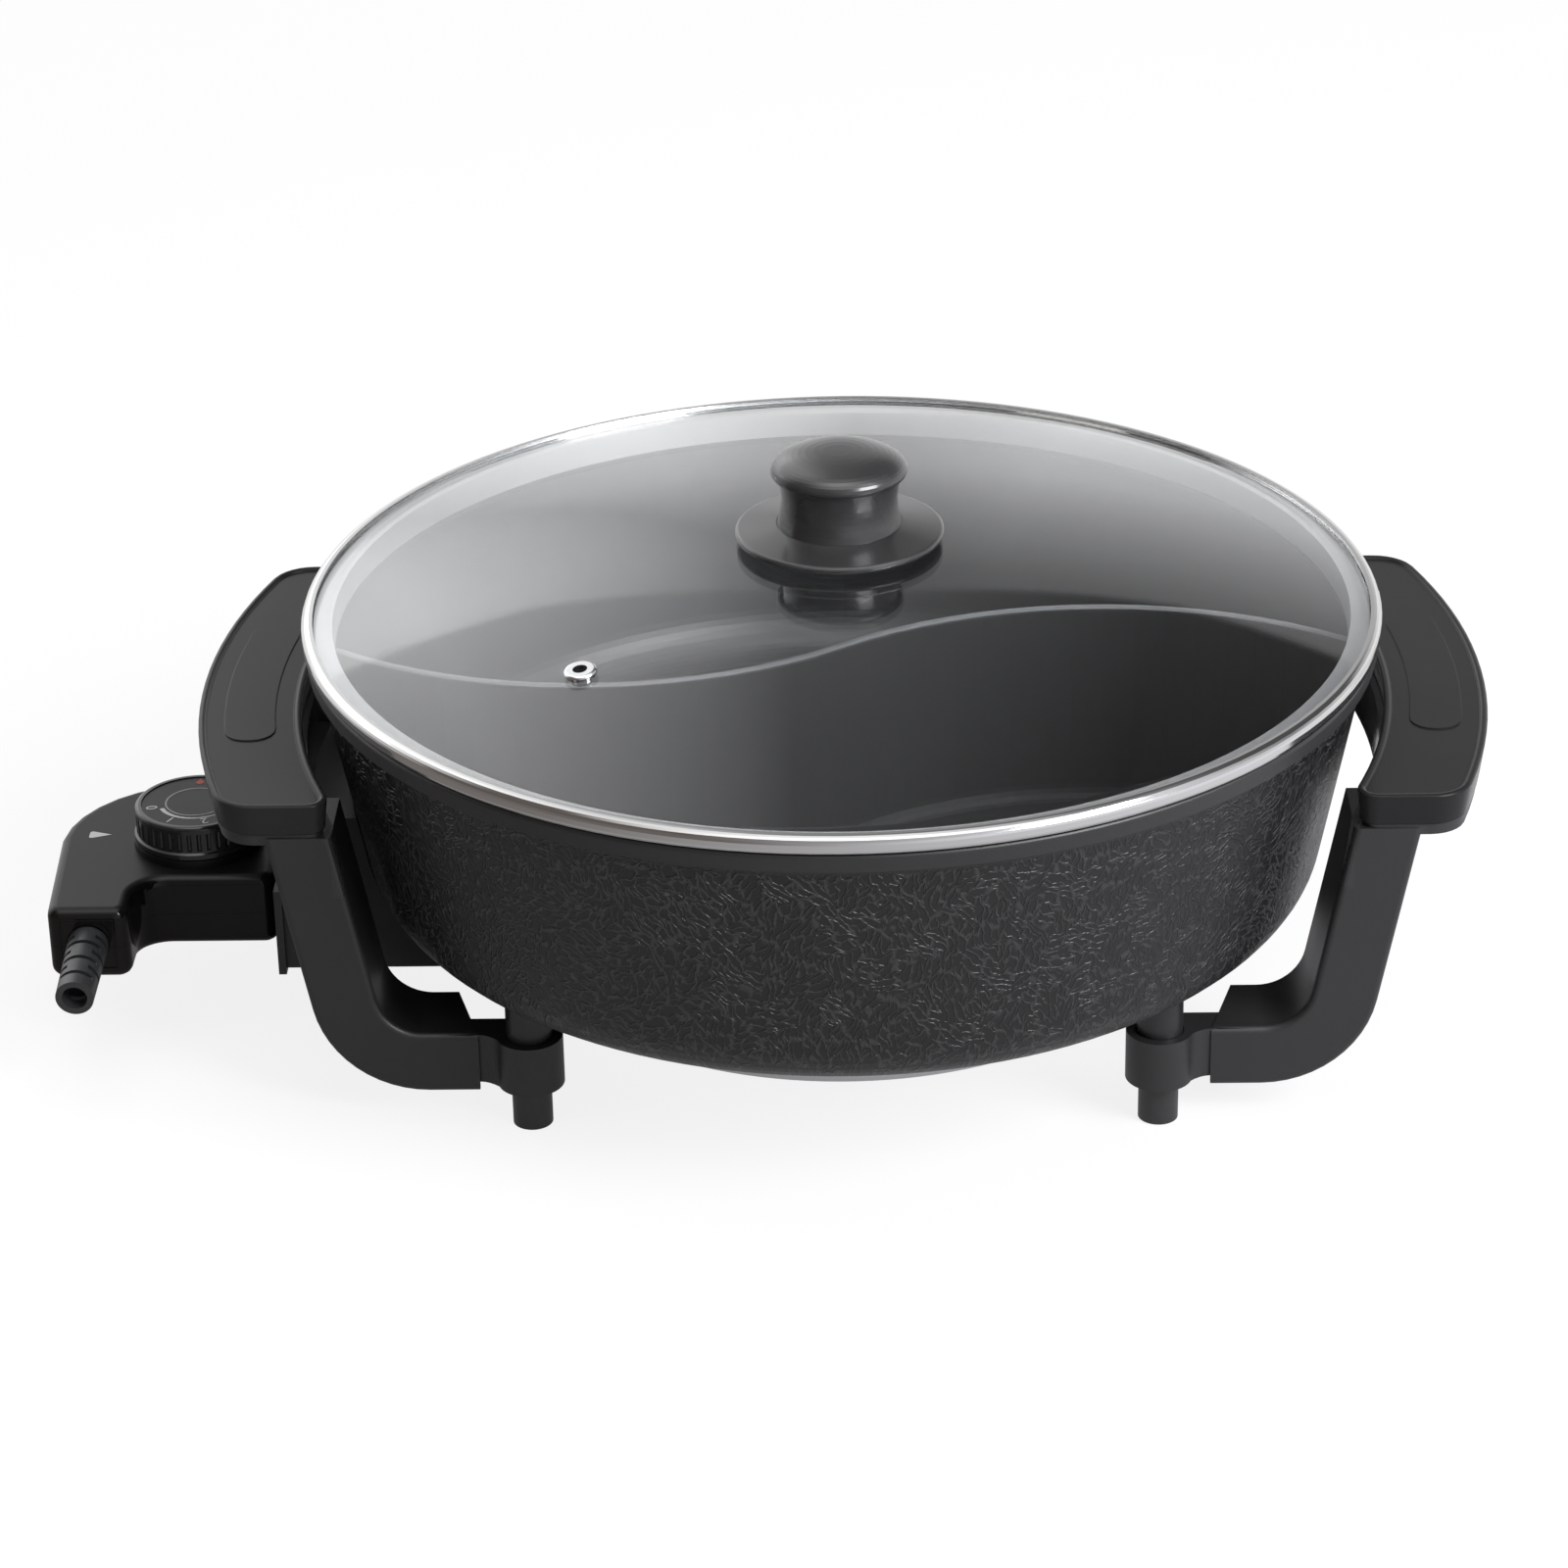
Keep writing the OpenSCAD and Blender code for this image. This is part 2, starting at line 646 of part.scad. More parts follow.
// Front outline of the channel behind the leg's face
function leg_pocket() = let (
        r0 = leg_bend_r + leg_wall,
        r1 = leg_bend_r + leg_t - leg_wall,
        x0 = leg_end_x + leg_end_slant + leg_wall,
        z1 = shoulder_z - 1,
        c = [leg_bend_x, leg_bend_z],
        run = [sin(wall_draft), cos(wall_draft)],
        out = [cos(wall_draft), -sin(wall_draft)])
    concat(
        [[x0, leg_bend_z - r1]],
        arc_pts(c, r1, -90, -wall_draft, leg_steps),
        [c + r1 * out + leg_run(r1, z1) * run, c + r0 * out + leg_run(r0, z1) * run],
        arc_pts(c, r0, -wall_draft, -90, leg_steps),
        [[x0, leg_bend_z - r0]]);

// The front right leg: flat run from the boss, bend, then a straight run beside the pan
module leg() {
    difference() {
        loft(concat(
            [[for (p = leg_section) leg_point(p, -90, leg_end_at(p[1]) - leg_bend_x)]],
            [for (i = [0:leg_steps]) leg_ring(-90 + (90 - wall_draft) * i / leg_steps)],
            [[for (p = leg_section) leg_point(p, -wall_draft, leg_run(p[0], leg_top))]]));
        translate([0, leg_w - leg_y + 1, 0])
            rotate([90, 0, 0])
                linear_extrude(leg_w - leg_wall + 1)
                    polygon(leg_pocket());
    }
}

boss_h = leg_z + leg_t - seat_gap - boss_z;

// Cup round the pan's lug, with an S-curved neck that runs into the leg's end
module boss() {
    front = -foot_y - boss_d / 2;
    step_back = 0.5;
    steps = 10;
    sweep = foot_y + boss_d / 2 - leg_y + step_back;
    back = boss_d / 2 - foot_y - step_back;
    neck = concat(
        [for (i = [0:steps])
            [foot_x + (leg_end_x - foot_x) * i / steps, front + 0.1 + sweep * (1 - cos(180 * i / steps)) / 2]],
        [[leg_end_x + leg_wall / 2, step_back - leg_y + 0.1],
            [leg_end_at(back) + leg_wall / 2, back], [foot_x, back]]);
    difference() {
        union() {
            translate([foot_x, -foot_y, boss_z])
                cylinder(d = boss_d, h = boss_h);
            translate([0, 0, boss_z])
                linear_extrude(boss_h)
                    polygon(neck);
        }
        translate([foot_x, -foot_y, lug_z])
            cylinder(d = lug_d + 2 * seat_gap, h = boss_h);
        translate([foot_x, -foot_y, boss_z - 1])
            cylinder(d = screw_d + 2 * screw_gap, h = boss_h);
    }
}

// Plan outline of the grip's curved band, shrunk by d, with corner radii that follow
grip_cx = grip_x - grip_r;

function band(r_out, r_in, half_l, f_out, f_in) = let (
        y_out = half_l - f_out,
        y_in = half_l - f_in,
        a_out = asin(y_out / (r_out - f_out)),
        a_in = asin(y_in / (r_in + f_in)),
        c_out = [grip_cx + (r_out - f_out) * cos(a_out), y_out],
        c_in = [grip_cx + (r_in + f_in) * cos(a_in), y_in])
    concat(
        arc_pts([c_out[0], -c_out[1]], f_out, 270, 345 - a_out, 5),
        arc_pts([grip_cx, 0], r_out, -a_out, a_out, 18),
        arc_pts(c_out, f_out, a_out + 15, 90, 5),
        arc_pts(c_in, f_in, 90, 180 + a_in, 5),
        arc_pts([grip_cx, 0], r_in, a_in - 1, 1 - a_in, 18),
        arc_pts([c_in[0], -c_in[1]], f_in, 180 - a_in, 270, 5));

function grip_band(d) = band(grip_r - d, grip_r - grip_w + d, grip_l / 2 - d,
    max(grip_corner_r - d, 0.5), max(grip_inner_corner_r - d, 0.5));

bar_gap = grip_wall + seat_gap;
shoulder_inset = grip_taper + 0.6;
curtain_t = 1.8;
curtain_r = grip_r - grip_w - 0.9;
curtain_lip = shoulder_inset + 2.3;
grip_screw_y = 52;
grip_screw_d = 4;
grip_screw_x = grip_cx + sqrt(pow(grip_r - grip_w / 2, 2) - pow(grip_screw_y, 2));

module at_grip_screws() {
    for (sy = [-1, 1])
        translate([grip_screw_x, sy * grip_screw_y, 0])
            children();
}

// Curved wall between the legs that hangs from the shoulder on the pan's side by a lip
module curtain() {
    a = asin((leg_y - leg_w + leg_wall) / curtain_r);
    translate([grip_cx, 0, shoulder_z - curtain_h])
        rotate([0, 0, -a])
            rotate_extrude(angle = 2 * a)
                translate([curtain_r, 0]) {
                    square([curtain_t, curtain_h + shoulder_t]);
                    translate([0, curtain_h + shoulder_t / 4])
                        square([curtain_lip, shoulder_t / 2]);
                }
}

module handle_frame() {
    difference() {
        union() {
            curtain();
            for (m = [0, 1])
                mirror([0, m, 0]) {
                    leg();
                    boss();
                }
            translate([0, 0, shoulder_z])
                linear_extrude(shoulder_t)
                    polygon(grip_band(shoulder_inset));
            translate([0, 0, shoulder_z + 1])
                linear_extrude(bar_top - seat_gap - shoulder_z - 1)
                    polygon(grip_band(bar_gap));
        }
        at_grip_screws()
            translate([0, 0, shoulder_z - 1])
                cylinder(d = grip_screw_d + 2 * screw_gap, h = grip_h + shoulder_t + 2);
    }
}

module left_handle_frame() {
    color([0.13, 0.13, 0.13])
        mirror([1, 0, 0])
            handle_frame();
}

module right_handle_frame() {
    color([0.13, 0.13, 0.13])
        handle_frame();
}

// Cap with a rounded bead round its top, a sunk top face and a raised thumb panel
module grip() {
    round_r = bead_w / 2;
    difference() {
        union() {
            loft(concat(
                [ring_at(grip_band(grip_taper), grip_top - grip_h)],
                [for (a = [0:30:180])
                    ring_at(grip_band(round_r - round_r * cos(a)), grip_top - bead_h + bead_h * sin(a))]));
            translate([0, 0, grip_top - bead_h - 0.2])
                linear_extrude(0.2 + bead_h / 2)
                    polygon(band(grip_r - (grip_w - panel_w) / 2, grip_r - (grip_w + panel_w) / 2,
                        panel_l / 2, panel_w / 2.2, panel_w / 2.2));
        }
        translate([0, 0, grip_top - grip_h - 1])
            linear_extrude(bar_top - grip_top + grip_h + 1)
                polygon(grip_band(grip_wall));
    }
}

module left_grip() {
    color([0.05, 0.05, 0.05])
        mirror([1, 0, 0])
            grip();
}

module right_grip() {
    color([0.05, 0.05, 0.05])
        grip();
}

module grip_screws() {
    color([0.7, 0.7, 0.7])
        for (m = [0, 1])
            mirror([m, 0, 0])
                at_grip_screws()
                    translate([0, 0, shoulder_z]) {
                        translate([0, 0, -small_head_h])
                            cylinder(d = 1.8 * grip_screw_d, h = small_head_h);
                        cylinder(d = grip_screw_d, h = bar_top - seat_gap - shoulder_z);
                    }
}

module foot(sx, sy) {
    color([0.07, 0.07, 0.07])
        translate([sx * foot_x, sy * foot_y, 0])
            difference() {
                cylinder(d = foot_d, h = foot_h);
                translate([0, 0, -1])
                    cylinder(d = screw_head_d + 4 * screw_gap, h = 1 + screw_recess + screw_head_h);
                cylinder(d = screw_d + 2 * screw_gap, h = foot_h + 1);
            }
}

module foot_screws() {
    color([0.7, 0.7, 0.7])
        at_corners()
            translate([0, 0, screw_recess]) {
                cylinder(d = screw_head_d, h = screw_head_h);
                cylinder(d = screw_d, h = lug_z - screw_recess + 10);
            }
}

// The glass is a dome with a flat edge that sits in the rim's channel
glass_edge_r = lid_d / 2 - lid_sheet_t - 1.4;
dome_r = lid_d / 2 - lid_lip_w - 1;
glass_z = lid_z + lid_sheet_t + seat_gap / 2;
glass_r = (pow(dome_r, 2) + pow(glass_rise, 2)) / (2 * glass_rise);
glass_a = asin(dome_r / glass_r);
glass_c = [0, glass_z + glass_rise - glass_r];
glass_top = glass_z + glass_rise + glass_t;
knob_screw_d = 5;

// Height of the glass's upper face at radius r
function glass_z_at(r) = glass_c[1] + sqrt(pow(glass_r + glass_t, 2) - r * r);

// Places a child on the glass at the steam vent, square to the dome
module at_vent() {
    r = norm([vent_x, vent_y]);
    rotate([0, 0, atan2(vent_y, vent_x)])
        translate([r, 0, glass_z_at(r)])
            rotate([0, asin(r / (glass_r + glass_t)), 0])
                children();
}

module lid_glass() {
    color([0.75, 0.8, 0.82, 0.35])
        difference() {
            rotate_extrude()
                polygon(concat(
                    arc_pts(glass_c, glass_r, 90, 90 - glass_a, 16),
                    [[glass_edge_r, glass_z], [glass_edge_r, glass_z + glass_t]],
                    arc_pts(glass_c, glass_r + glass_t, 90 - glass_a, 90, 16)));
            translate([0, 0, glass_z])
                cylinder(d = knob_screw_d + 1, h = 2 * glass_rise);
            at_vent()
                translate([0, 0, -2 * glass_t])
                    cylinder(d = vent_d + 3, h = 4 * glass_t);
        }
}

// Rolled steel rim: a lip over the glass, a channel round its edge and a skirt into the pan
module lid_rim() {
    r = lid_d / 2;
    t = lid_sheet_t;
    skirt_r = wall_in(rim_z - skirt_h) - 1.2;
    lip_z = lid_top - t;
    color([0.82, 0.82, 0.83])
        rotate_extrude()
            polygon(concat(
                [[skirt_r - 0.5, rim_z - skirt_h], [skirt_r - 0.5 + t, rim_z - skirt_h],
                    [skirt_r + t, lid_z - 0.6], [skirt_r + t + 0.6, lid_z]],
                arc_pts([r - 1.4, lid_z + 1.4], 1.4, -90, 0, 4),
                arc_pts([r - 2.2, lid_top - 2.2], 2.2, 0, 90, 5),
                [[r - lid_lip_w, lid_top], [r - lid_lip_w, lip_z]],
                arc_pts([r - 2.2, lid_top - 2.2], 2.2 - t, 90, 0, 5),
                arc_pts([r - 1.4, lid_z + 1.4], 1.4 - t, 0, -90, 4),
                [[skirt_r, lid_z + t]]));
}

module vent_eyelet() {
    flange_t = 0.8;
    color([0.85, 0.85, 0.86])
        at_vent()
            difference() {
                union() {
                    translate([0, 0, seat_gap / 2])
                        rotate_extrude()
                            polygon(concat(
                                [[0, 0], [vent_flange_d / 2, 0]],
                                arc_pts([vent_flange_d / 2 - flange_t, 0], flange_t, 0, 90, 4),
                                [[0, flange_t]]));
                    translate([0, 0, -glass_t - 1.6])
                        cylinder(d = vent_d + 1.6, h = glass_t + 2);
                }
                translate([0, 0, -2 * glass_t])
                    cylinder(d = vent_d, h = 4 * glass_t);
            }
}

knob_z = glass_top + gasket_t + knob_base_t;
knob_waist_r = knob_d / 2 - knob_step;
knob_flare = 1;
knob_foot_r = knob_waist_r + knob_flare;

// Turned knob: waisted neck, a crease, then a wide flattened head
module knob() {
    head_r = knob_d / 2;
    neck_h = knob_h - knob_head_h;
    edge_r = 1.6;
    dome_h = knob_head_h - edge_r;
    color([0.06, 0.06, 0.06])
        translate([0, 0, knob_z])
            difference() {
                rotate_extrude()
                    polygon(concat(
                        [[0, 0]],
                        [for (t = [0:0.125:1]) [knob_waist_r + knob_flare * pow(2 * t - 1, 2), neck_h * t]],
                        arc_pts([head_r - edge_r, neck_h + edge_r], edge_r, -90, -15, 5),
                        [for (a = [0:7.5:90])
                            [head_r * pow(cos(a), 0.75), neck_h + edge_r + dome_h * pow(sin(a), 0.95)]]));
                translate([0, 0, -1])
                    cylinder(d = knob_screw_d + 2 * screw_gap, h = 16);
            }
}

// Round plate under the knob, its top falling to a rounded edge
module knob_base() {
    r = knob_base_d / 2;
    round_r = (knob_base_t - knob_base_fall) / 2;
    color([0.06, 0.06, 0.06])
        translate([0, 0, knob_z - knob_base_t])
            difference() {
                rotate_extrude()
                    polygon(concat(
                        [[0, 0]],
                        arc_pts([r - round_r, round_r], round_r, -90, 80, 7),
                        [[knob_foot_r + 0.4, knob_base_t], [0, knob_base_t]]));
                translate([0, 0, -1])
                    cylinder(d = knob_screw_d + 2 * screw_gap, h = knob_base_t + 2);
            }
}

module knob_gasket() {
    r = knob_base_d / 2 - 6;
    color([0.2, 0.2, 0.2])
        difference() {
            rotate_extrude()
                polygon(concat(
                    arc_pts(glass_c, glass_r + glass_t + seat_gap / 3, 90, 90 - asin(r / (glass_r + glass_t)), 4),
                    [[r, knob_z - knob_base_t], [0, knob_z - knob_base_t]]));
            translate([0, 0, glass_z])
                cylinder(d = knob_screw_d + 2 * screw_gap, h = 3 * glass_rise);
        }
}

module knob_screw() {
    color([0.75, 0.75, 0.75]) {
        translate([0, 0, glass_z + glass_rise - 3.2])
            cylinder(d = 2.4 * knob_screw_d, h = 3);
        translate([0, 0, glass_z + glass_rise - 1])
            cylinder(d = knob_screw_d, h = knob_z - glass_z - glass_rise + 12);
    }
}

// Plan outline of the L-shaped controller, shrunk by d
cord_end_x = ctrl_x + cord_end_in + cord_end_w;
inner_bend_r = 9;
end_corner_r = 4;
back_c = [ctrl_x + ctrl_corner_r, dial_y + 2];
back_a = acos((ctrl_right_x - end_corner_r - back_c[0]) / (ctrl_corner_r - end_corner_r));
back_corner = back_c + (ctrl_corner_r - end_corner_r) * [cos(back_a), sin(back_a)];
ctrl_back_y = back_corner[1];

function ctrl_outline(d) = let (
        e = max(end_corner_r - d, 0.4),
        bend = inner_bend_r + d,
        x0 = ctrl_x + cord_end_in + d,
        x1 = cord_end_x - d,
        x2 = ctrl_right_x - d,
        y0 = cord_end_y + d,
        y1 = ctrl_front_y + d)
    concat(
        arc_pts([x1 - e, y0 + e], e, 270, 360, 5),
        arc_pts([x1 + bend, y1 - bend], bend, 180, 90, 12),
        arc_pts([x2 - e, y1 + e], e, 270, 360, 5),
        arc_pts(back_corner, e, 0, back_a, 5),
        arc_pts(back_c, ctrl_corner_r - d, back_a + 1, 178, 12),
        arc_pts([x0 + e, y0 + e], e, 180, 270, 5));

// Half housing between its parting face and a rounded far edge
module housing_half(z_part, z_far) {
    dir = sign(z_far - z_part);
    rings = concat(
        [ring_at(ctrl_outline(0), z_part)],
        [for (a = [0:22.5:90])
            ring_at(ctrl_outline(ctrl_edge_r - ctrl_edge_r * cos(a)), z_far - dir * ctrl_edge_r * (1 - sin(a)))]);
    loft(dir > 0 ? rings : [for (i = [len(rings) - 1:-1:0]) rings[i]]);
}

module ctrl_cavity() {
    translate([0, 0, ctrl_z + ctrl_wall])
        linear_extrude(ctrl_h - 2 * ctrl_wall)
            polygon(ctrl_outline(ctrl_wall));
}

relief_x = ctrl_x + cord_end_in + cord_end_w / 2;
relief_z = split_z + 1.2;
relief_tilt = 5;
relief_collar = 3;
nose_half_w = 19;
nose_z = ctrl_z + ctrl_wall + seat_gap;
nose_h = 15;
nose_root = 6;
nose_x = ctrl_right_x - nose_root;
nose_l = 18;
nose_end_x = ctrl_right_x + nose_l;

module relief_hole() {
    translate([relief_x, cord_end_y + ctrl_wall + 1, relief_z])
        rotate([90, 0, 0])
            cylinder(d = relief_root_d + 2 * screw_gap, h = ctrl_wall + 3);
}

// Shallow square groove in the cord end's face, round the strain relief
module cord_groove() {
    side = relief_root_d + 4;
    line = 0.6;
    translate([relief_x, cord_end_y + line / 2, relief_z])
        rotate([90, 0, 0])
            linear_extrude(line)
                difference() {
                    square(side, center = true);
                    square(side - 2 * line, center = true);
                }
}

// Opening in the housing's end for the plug's nose
module nose_hole() {
    translate([nose_x - seat_gap, -nose_half_w - seat_gap, nose_z - seat_gap])
        cube([nose_root + seat_gap + 1, 2 * (nose_half_w + seat_gap), nose_h + 2 * seat_gap]);
}

housing_screw_d = 3;
housing_head_h = 2;
housing_head_sink = 1;
housing_bite = 4;
screw_side_in = 13;
screw_end_in = 14;
screw_edge_in = 7;
screw_cord_in = 22;
housing_screw_at = [[ctrl_x + screw_side_in, back_c[1] + screw_edge_in],
    [ctrl_x + screw_side_in, cord_end_y + screw_cord_in],
    [ctrl_right_x - screw_end_in, ctrl_front_y + screw_edge_in], [ctrl_right_x - screw_end_in, ctrl_back_y]];

module at_housing_screws() {
    for (p = housing_screw_at)
        translate([p[0], p[1], 0])
            children();
}

module controller_top() {
    color([0.04, 0.04, 0.04])
        difference() {
            union() {
                difference() {
                    housing_half(split_z, ctrl_top);
                    ctrl_cavity();
                }
                translate([dial_x, dial_y, ctrl_top - ctrl_wall])
                    cylinder(d = dial_d + 2, h = ctrl_wall + collar_h);
                at_housing_screws()
                    translate([0, 0, split_z])
                        cylinder(d = 2.4 * housing_screw_d, h = ctrl_top - ctrl_wall - split_z);
            }
            translate([dial_x, dial_y, ctrl_z])
                cylinder(d = dial_shaft_d + 2 * run_gap, h = 2 * ctrl_h);
            relief_hole();
            cord_groove();
            nose_hole();
            at_housing_screws()
                translate([0, 0, split_z - 1])
                    cylinder(d = housing_screw_d + 2 * screw_gap, h = 2 * housing_bite);
        }
}

module controller_bottom() {
    color([0.05, 0.045, 0.04])
        difference() {
            union() {
                difference() {
                    housing_half(split_z, ctrl_z);
                    ctrl_cavity();
                }
                at_housing_screws()
                    translate([0, 0, ctrl_z + ctrl_wall / 2])
                        cylinder(d = 2.4 * housing_screw_d, h = split_z - ctrl_z - ctrl_wall / 2);
            }
            relief_hole();
            cord_groove();
            nose_hole();
            at_housing_screws() {
                translate([0, 0, ctrl_z - 1])
                    cylinder(d = housing_screw_d + 2 * screw_gap, h = ctrl_split + 2);
                translate([0, 0, ctrl_z - 1])
                    cylinder(d = 2 * housing_screw_d + 2 * screw_gap, h = 1 + housing_head_sink + housing_head_h);
            }
        }
}

module housing_screws() {
    color([0.7, 0.7, 0.7])
        at_housing_screws() {
            translate([0, 0, ctrl_z + housing_head_sink])
                cylinder(d = 2 * housing_screw_d, h = housing_head_h);
            translate([0, 0, ctrl_z + housing_head_sink + 1])
                cylinder(d = housing_screw_d, h = ctrl_split + housing_bite);
        }
}

clip_d = pin_d + 2.6;
clip_l = 15;
nose_drop = clip_d / 2 + 1.4;
nose_flange = 1.5;

module nose_bore(y, d, l) {
    translate([nose_end_x - l, y, plug_z])
        rotate([0, 90, 0])
            cylinder(d = d, h = l + 1);
}

// Block with the sockets outside the housing, held by a root inside it
module plug_nose() {
    block_x = ctrl_right_x + seat_gap;
    block_half_w = nose_half_w + nose_flange;
    color([0.05, 0.05, 0.05])
        difference() {
            union() {
                translate([nose_x, -nose_half_w, nose_z])
                    cube([nose_root + 1, 2 * nose_half_w, nose_h]);
                translate([block_x, -block_half_w, plug_z - nose_drop])
                    cube([nose_end_x - block_x, 2 * block_half_w, nose_z + nose_h + nose_flange - plug_z + nose_drop]);
            }
            for (sy = [-1, 1])
                nose_bore(sy * pin_y, clip_d + 2 * screw_gap, clip_l + 1);
            nose_bore(0, probe_d + 2 * screw_gap, clip_l);
        }
}

module terminal_clips() {
    color([0.8, 0.65, 0.35])
        for (sy = [-1, 1])
            translate([nose_end_x - clip_l - 0.8, sy * pin_y, plug_z])
                rotate([0, 90, 0])
                    difference() {
                        cylinder(d = clip_d, h = clip_l);
                        translate([0, 0, 2])
                            cylinder(d = pin_d + 2 * run_gap, h = clip_l);
                    }
}

module sensor_probe() {
    back_x = nose_end_x - clip_l + 1;
    color([0.75, 0.75, 0.76])
        translate([0, 0, plug_z]) {
            translate([back_x, 0, 0])
                rotate([0, 90, 0])
                    cylinder(d = probe_d, h = probe_tip_x - back_x);
            translate([probe_tip_x, 0, 0])
                sphere(d = probe_d);
        }
}

shaft_foot_z = split_z - 2;

// Contact carrier and its stacked blades under the dial's shaft
module thermostat() {
    color([0.6, 0.55, 0.5]) {
        translate([dial_x - 9, dial_y - 7, ctrl_z + ctrl_wall])
            cube([26, 14, shaft_foot_z - 1.5 - ctrl_z - ctrl_wall - 1.5]);
        for (k = [0, 1])
            translate([dial_x - 5 - 2 * k, dial_y - 3, shaft_foot_z - 3 + 1.5 * k])
                cube([20 + 2 * k, 6, 0.8]);
        translate([dial_x + 11, dial_y - 4, shaft_foot_z - 3.2])
            cube([5, 8, 4]);
    }
}

// Ribbed bend guard with staggered slots, round a hole for the cord
module strain_relief() {
    pitch = (relief_l - 5) / relief_segments;
    color([0.1, 0.1, 0.1])
        translate([relief_x, cord_end_y, relief_z])
            rotate([90 + relief_tilt, 0, 0])
                difference() {
                    union() {
                        cylinder(d1 = relief_root_d, d2 = relief_tip_d, h = relief_l);
                        translate([0, 0, -ctrl_wall - relief_collar])
                            cylinder(d = relief_root_d - 1, h = ctrl_wall + relief_collar + 1);
                    }
                    translate([0, 0, -ctrl_wall - relief_collar - 1])
                        cylinder(d = cord_hole_d, h = relief_l + ctrl_wall + relief_collar + 2);
                    for (k = [0:relief_segments - 1], s = [0, 1])
                        translate([0, 0, 3.5 + k * pitch + s * pitch / 2])
                            rotate([0, 0, 90 * s])
                                for (side = [-1, 1])
                                    translate([side * relief_root_d / 2, 0, 0])
                                        cube([relief_root_d / 2, relief_root_d, pitch / 5], center = true);
                }
}

dial_sink = 0.8;
dial_plate_d = dial_d - 4;

module dial() {
    color([0.05, 0.05, 0.05])
        translate([dial_x, dial_y, dial_z])
            difference() {
                rotate_extrude()
                    polygon(concat(
                        [[0, 0], [dial_d / 2 + 0.6, 0], [dial_d / 2 + 0.6, 1.4], [dial_d / 2, 1.8]],
                        arc_pts([dial_d / 2 - 1, dial_h - 1], 1, 0, 90, 4),
                        [[0, dial_h]]));
                translate([0, 0, dial_h - dial_sink])
                    cylinder(d = dial_plate_d + 0.4, h = 2);
                for (k = [0:dial_ribs - 1])
                    rotate([0, 0, 360 * k / dial_ribs])
                        translate([dial_d / 2 + 0.35, 0, 2.4])
                            cylinder(d = 1.5, h = dial_h - 4.6);
                translate([0, 0, -1])
                    cylinder(d = dial_shaft_d + 2 * screw_gap, h = dial_h - 2);
            }
}

module dial_plate() {
    color([0.12, 0.12, 0.13])
        translate([dial_x, dial_y, dial_z + dial_h - dial_sink])
            cylinder(d = dial_plate_d, h = 0.5);
}

module dial_shaft() {
    color([0.75, 0.75, 0.75])
        translate([dial_x, dial_y, shaft_foot_z]) {
            cylinder(d = dial_shaft_d, h = dial_z + dial_h - 4 - shaft_foot_z);
            cylinder(d = dial_shaft_d + 3, h = 1.6);
        }
}

pan();
pan_floor();
pan_lugs();
divider();
base_cover();
cover_screw();
heater_plate();
heating_element();
terminal_pins();
terminal_insulators();
probe_socket();
inlet_guard();
guard_screws();
left_handle_frame();
right_handle_frame();
left_grip();
right_grip();
grip_screws();
foot(-1, -1);  // foot_front_left
foot(1, -1);  // foot_front_right
foot(-1, 1);  // foot_rear_left
foot(1, 1);  // foot_rear_right
foot_screws();
lid_glass();
lid_rim();
vent_eyelet();
knob();
knob_base();
knob_gasket();
knob_screw();
controller_top();
controller_bottom();
plug_nose();
terminal_clips();
sensor_probe();
thermostat();
housing_screws();
strain_relief();
dial();
dial_plate();
dial_shaft();
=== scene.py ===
import math
import bpy
from mathutils import Matrix, Vector


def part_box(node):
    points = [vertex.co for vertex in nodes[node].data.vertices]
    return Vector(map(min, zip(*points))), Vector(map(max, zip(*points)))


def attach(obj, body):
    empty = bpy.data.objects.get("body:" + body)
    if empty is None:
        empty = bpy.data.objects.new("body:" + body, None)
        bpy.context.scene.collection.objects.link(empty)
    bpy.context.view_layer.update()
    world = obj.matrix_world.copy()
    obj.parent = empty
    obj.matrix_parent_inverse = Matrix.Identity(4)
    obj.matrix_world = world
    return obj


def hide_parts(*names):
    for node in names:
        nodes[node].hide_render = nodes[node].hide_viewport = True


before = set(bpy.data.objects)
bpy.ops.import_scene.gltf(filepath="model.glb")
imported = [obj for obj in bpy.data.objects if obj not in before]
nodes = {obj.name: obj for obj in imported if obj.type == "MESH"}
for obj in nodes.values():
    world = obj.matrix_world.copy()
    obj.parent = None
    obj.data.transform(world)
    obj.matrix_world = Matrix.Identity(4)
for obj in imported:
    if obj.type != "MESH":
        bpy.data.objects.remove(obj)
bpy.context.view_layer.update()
print("frame loaded with", len(nodes), "nodes")

# camera at the photograph's angle
camera = dict(place=(0.0087, -1.158, 0.6416), azimuth=1.26, elevation=26.5, roll=-1.13, lens=104.4,
              sensor=36, near=0.05, far=50)


def makeCamera():
    bpy.ops.object.select_all(action="DESELECT")
    bpy.ops.object.camera_add(location=camera["place"])
    cam = bpy.context.object
    cam.name = "photoCamera"
    cam.data.lens = camera["lens"]
    cam.data.sensor_width = camera["sensor"]
    cam.data.clip_start = camera["near"]
    cam.data.clip_end = camera["far"]
    turn = Matrix.Rotation(math.radians(camera["azimuth"]), 4, "Z")
    tilt = Matrix.Rotation(math.radians(90 - camera["elevation"]), 4, "X")
    roll = Matrix.Rotation(math.radians(camera["roll"]), 4, "Z")
    cam.matrix_world = Matrix.Translation(camera["place"]) @ turn @ tilt @ roll
    bpy.context.scene.camera = cam


makeCamera()
print("camera set")


# node helpers
def put(tree, kind, **values):
    node = tree.nodes.new(kind)
    for key, value in values.items():
        if hasattr(node, key):
            setattr(node, key, value)
        else:
            node.inputs[key.replace("_", " ")].default_value = value
    return node


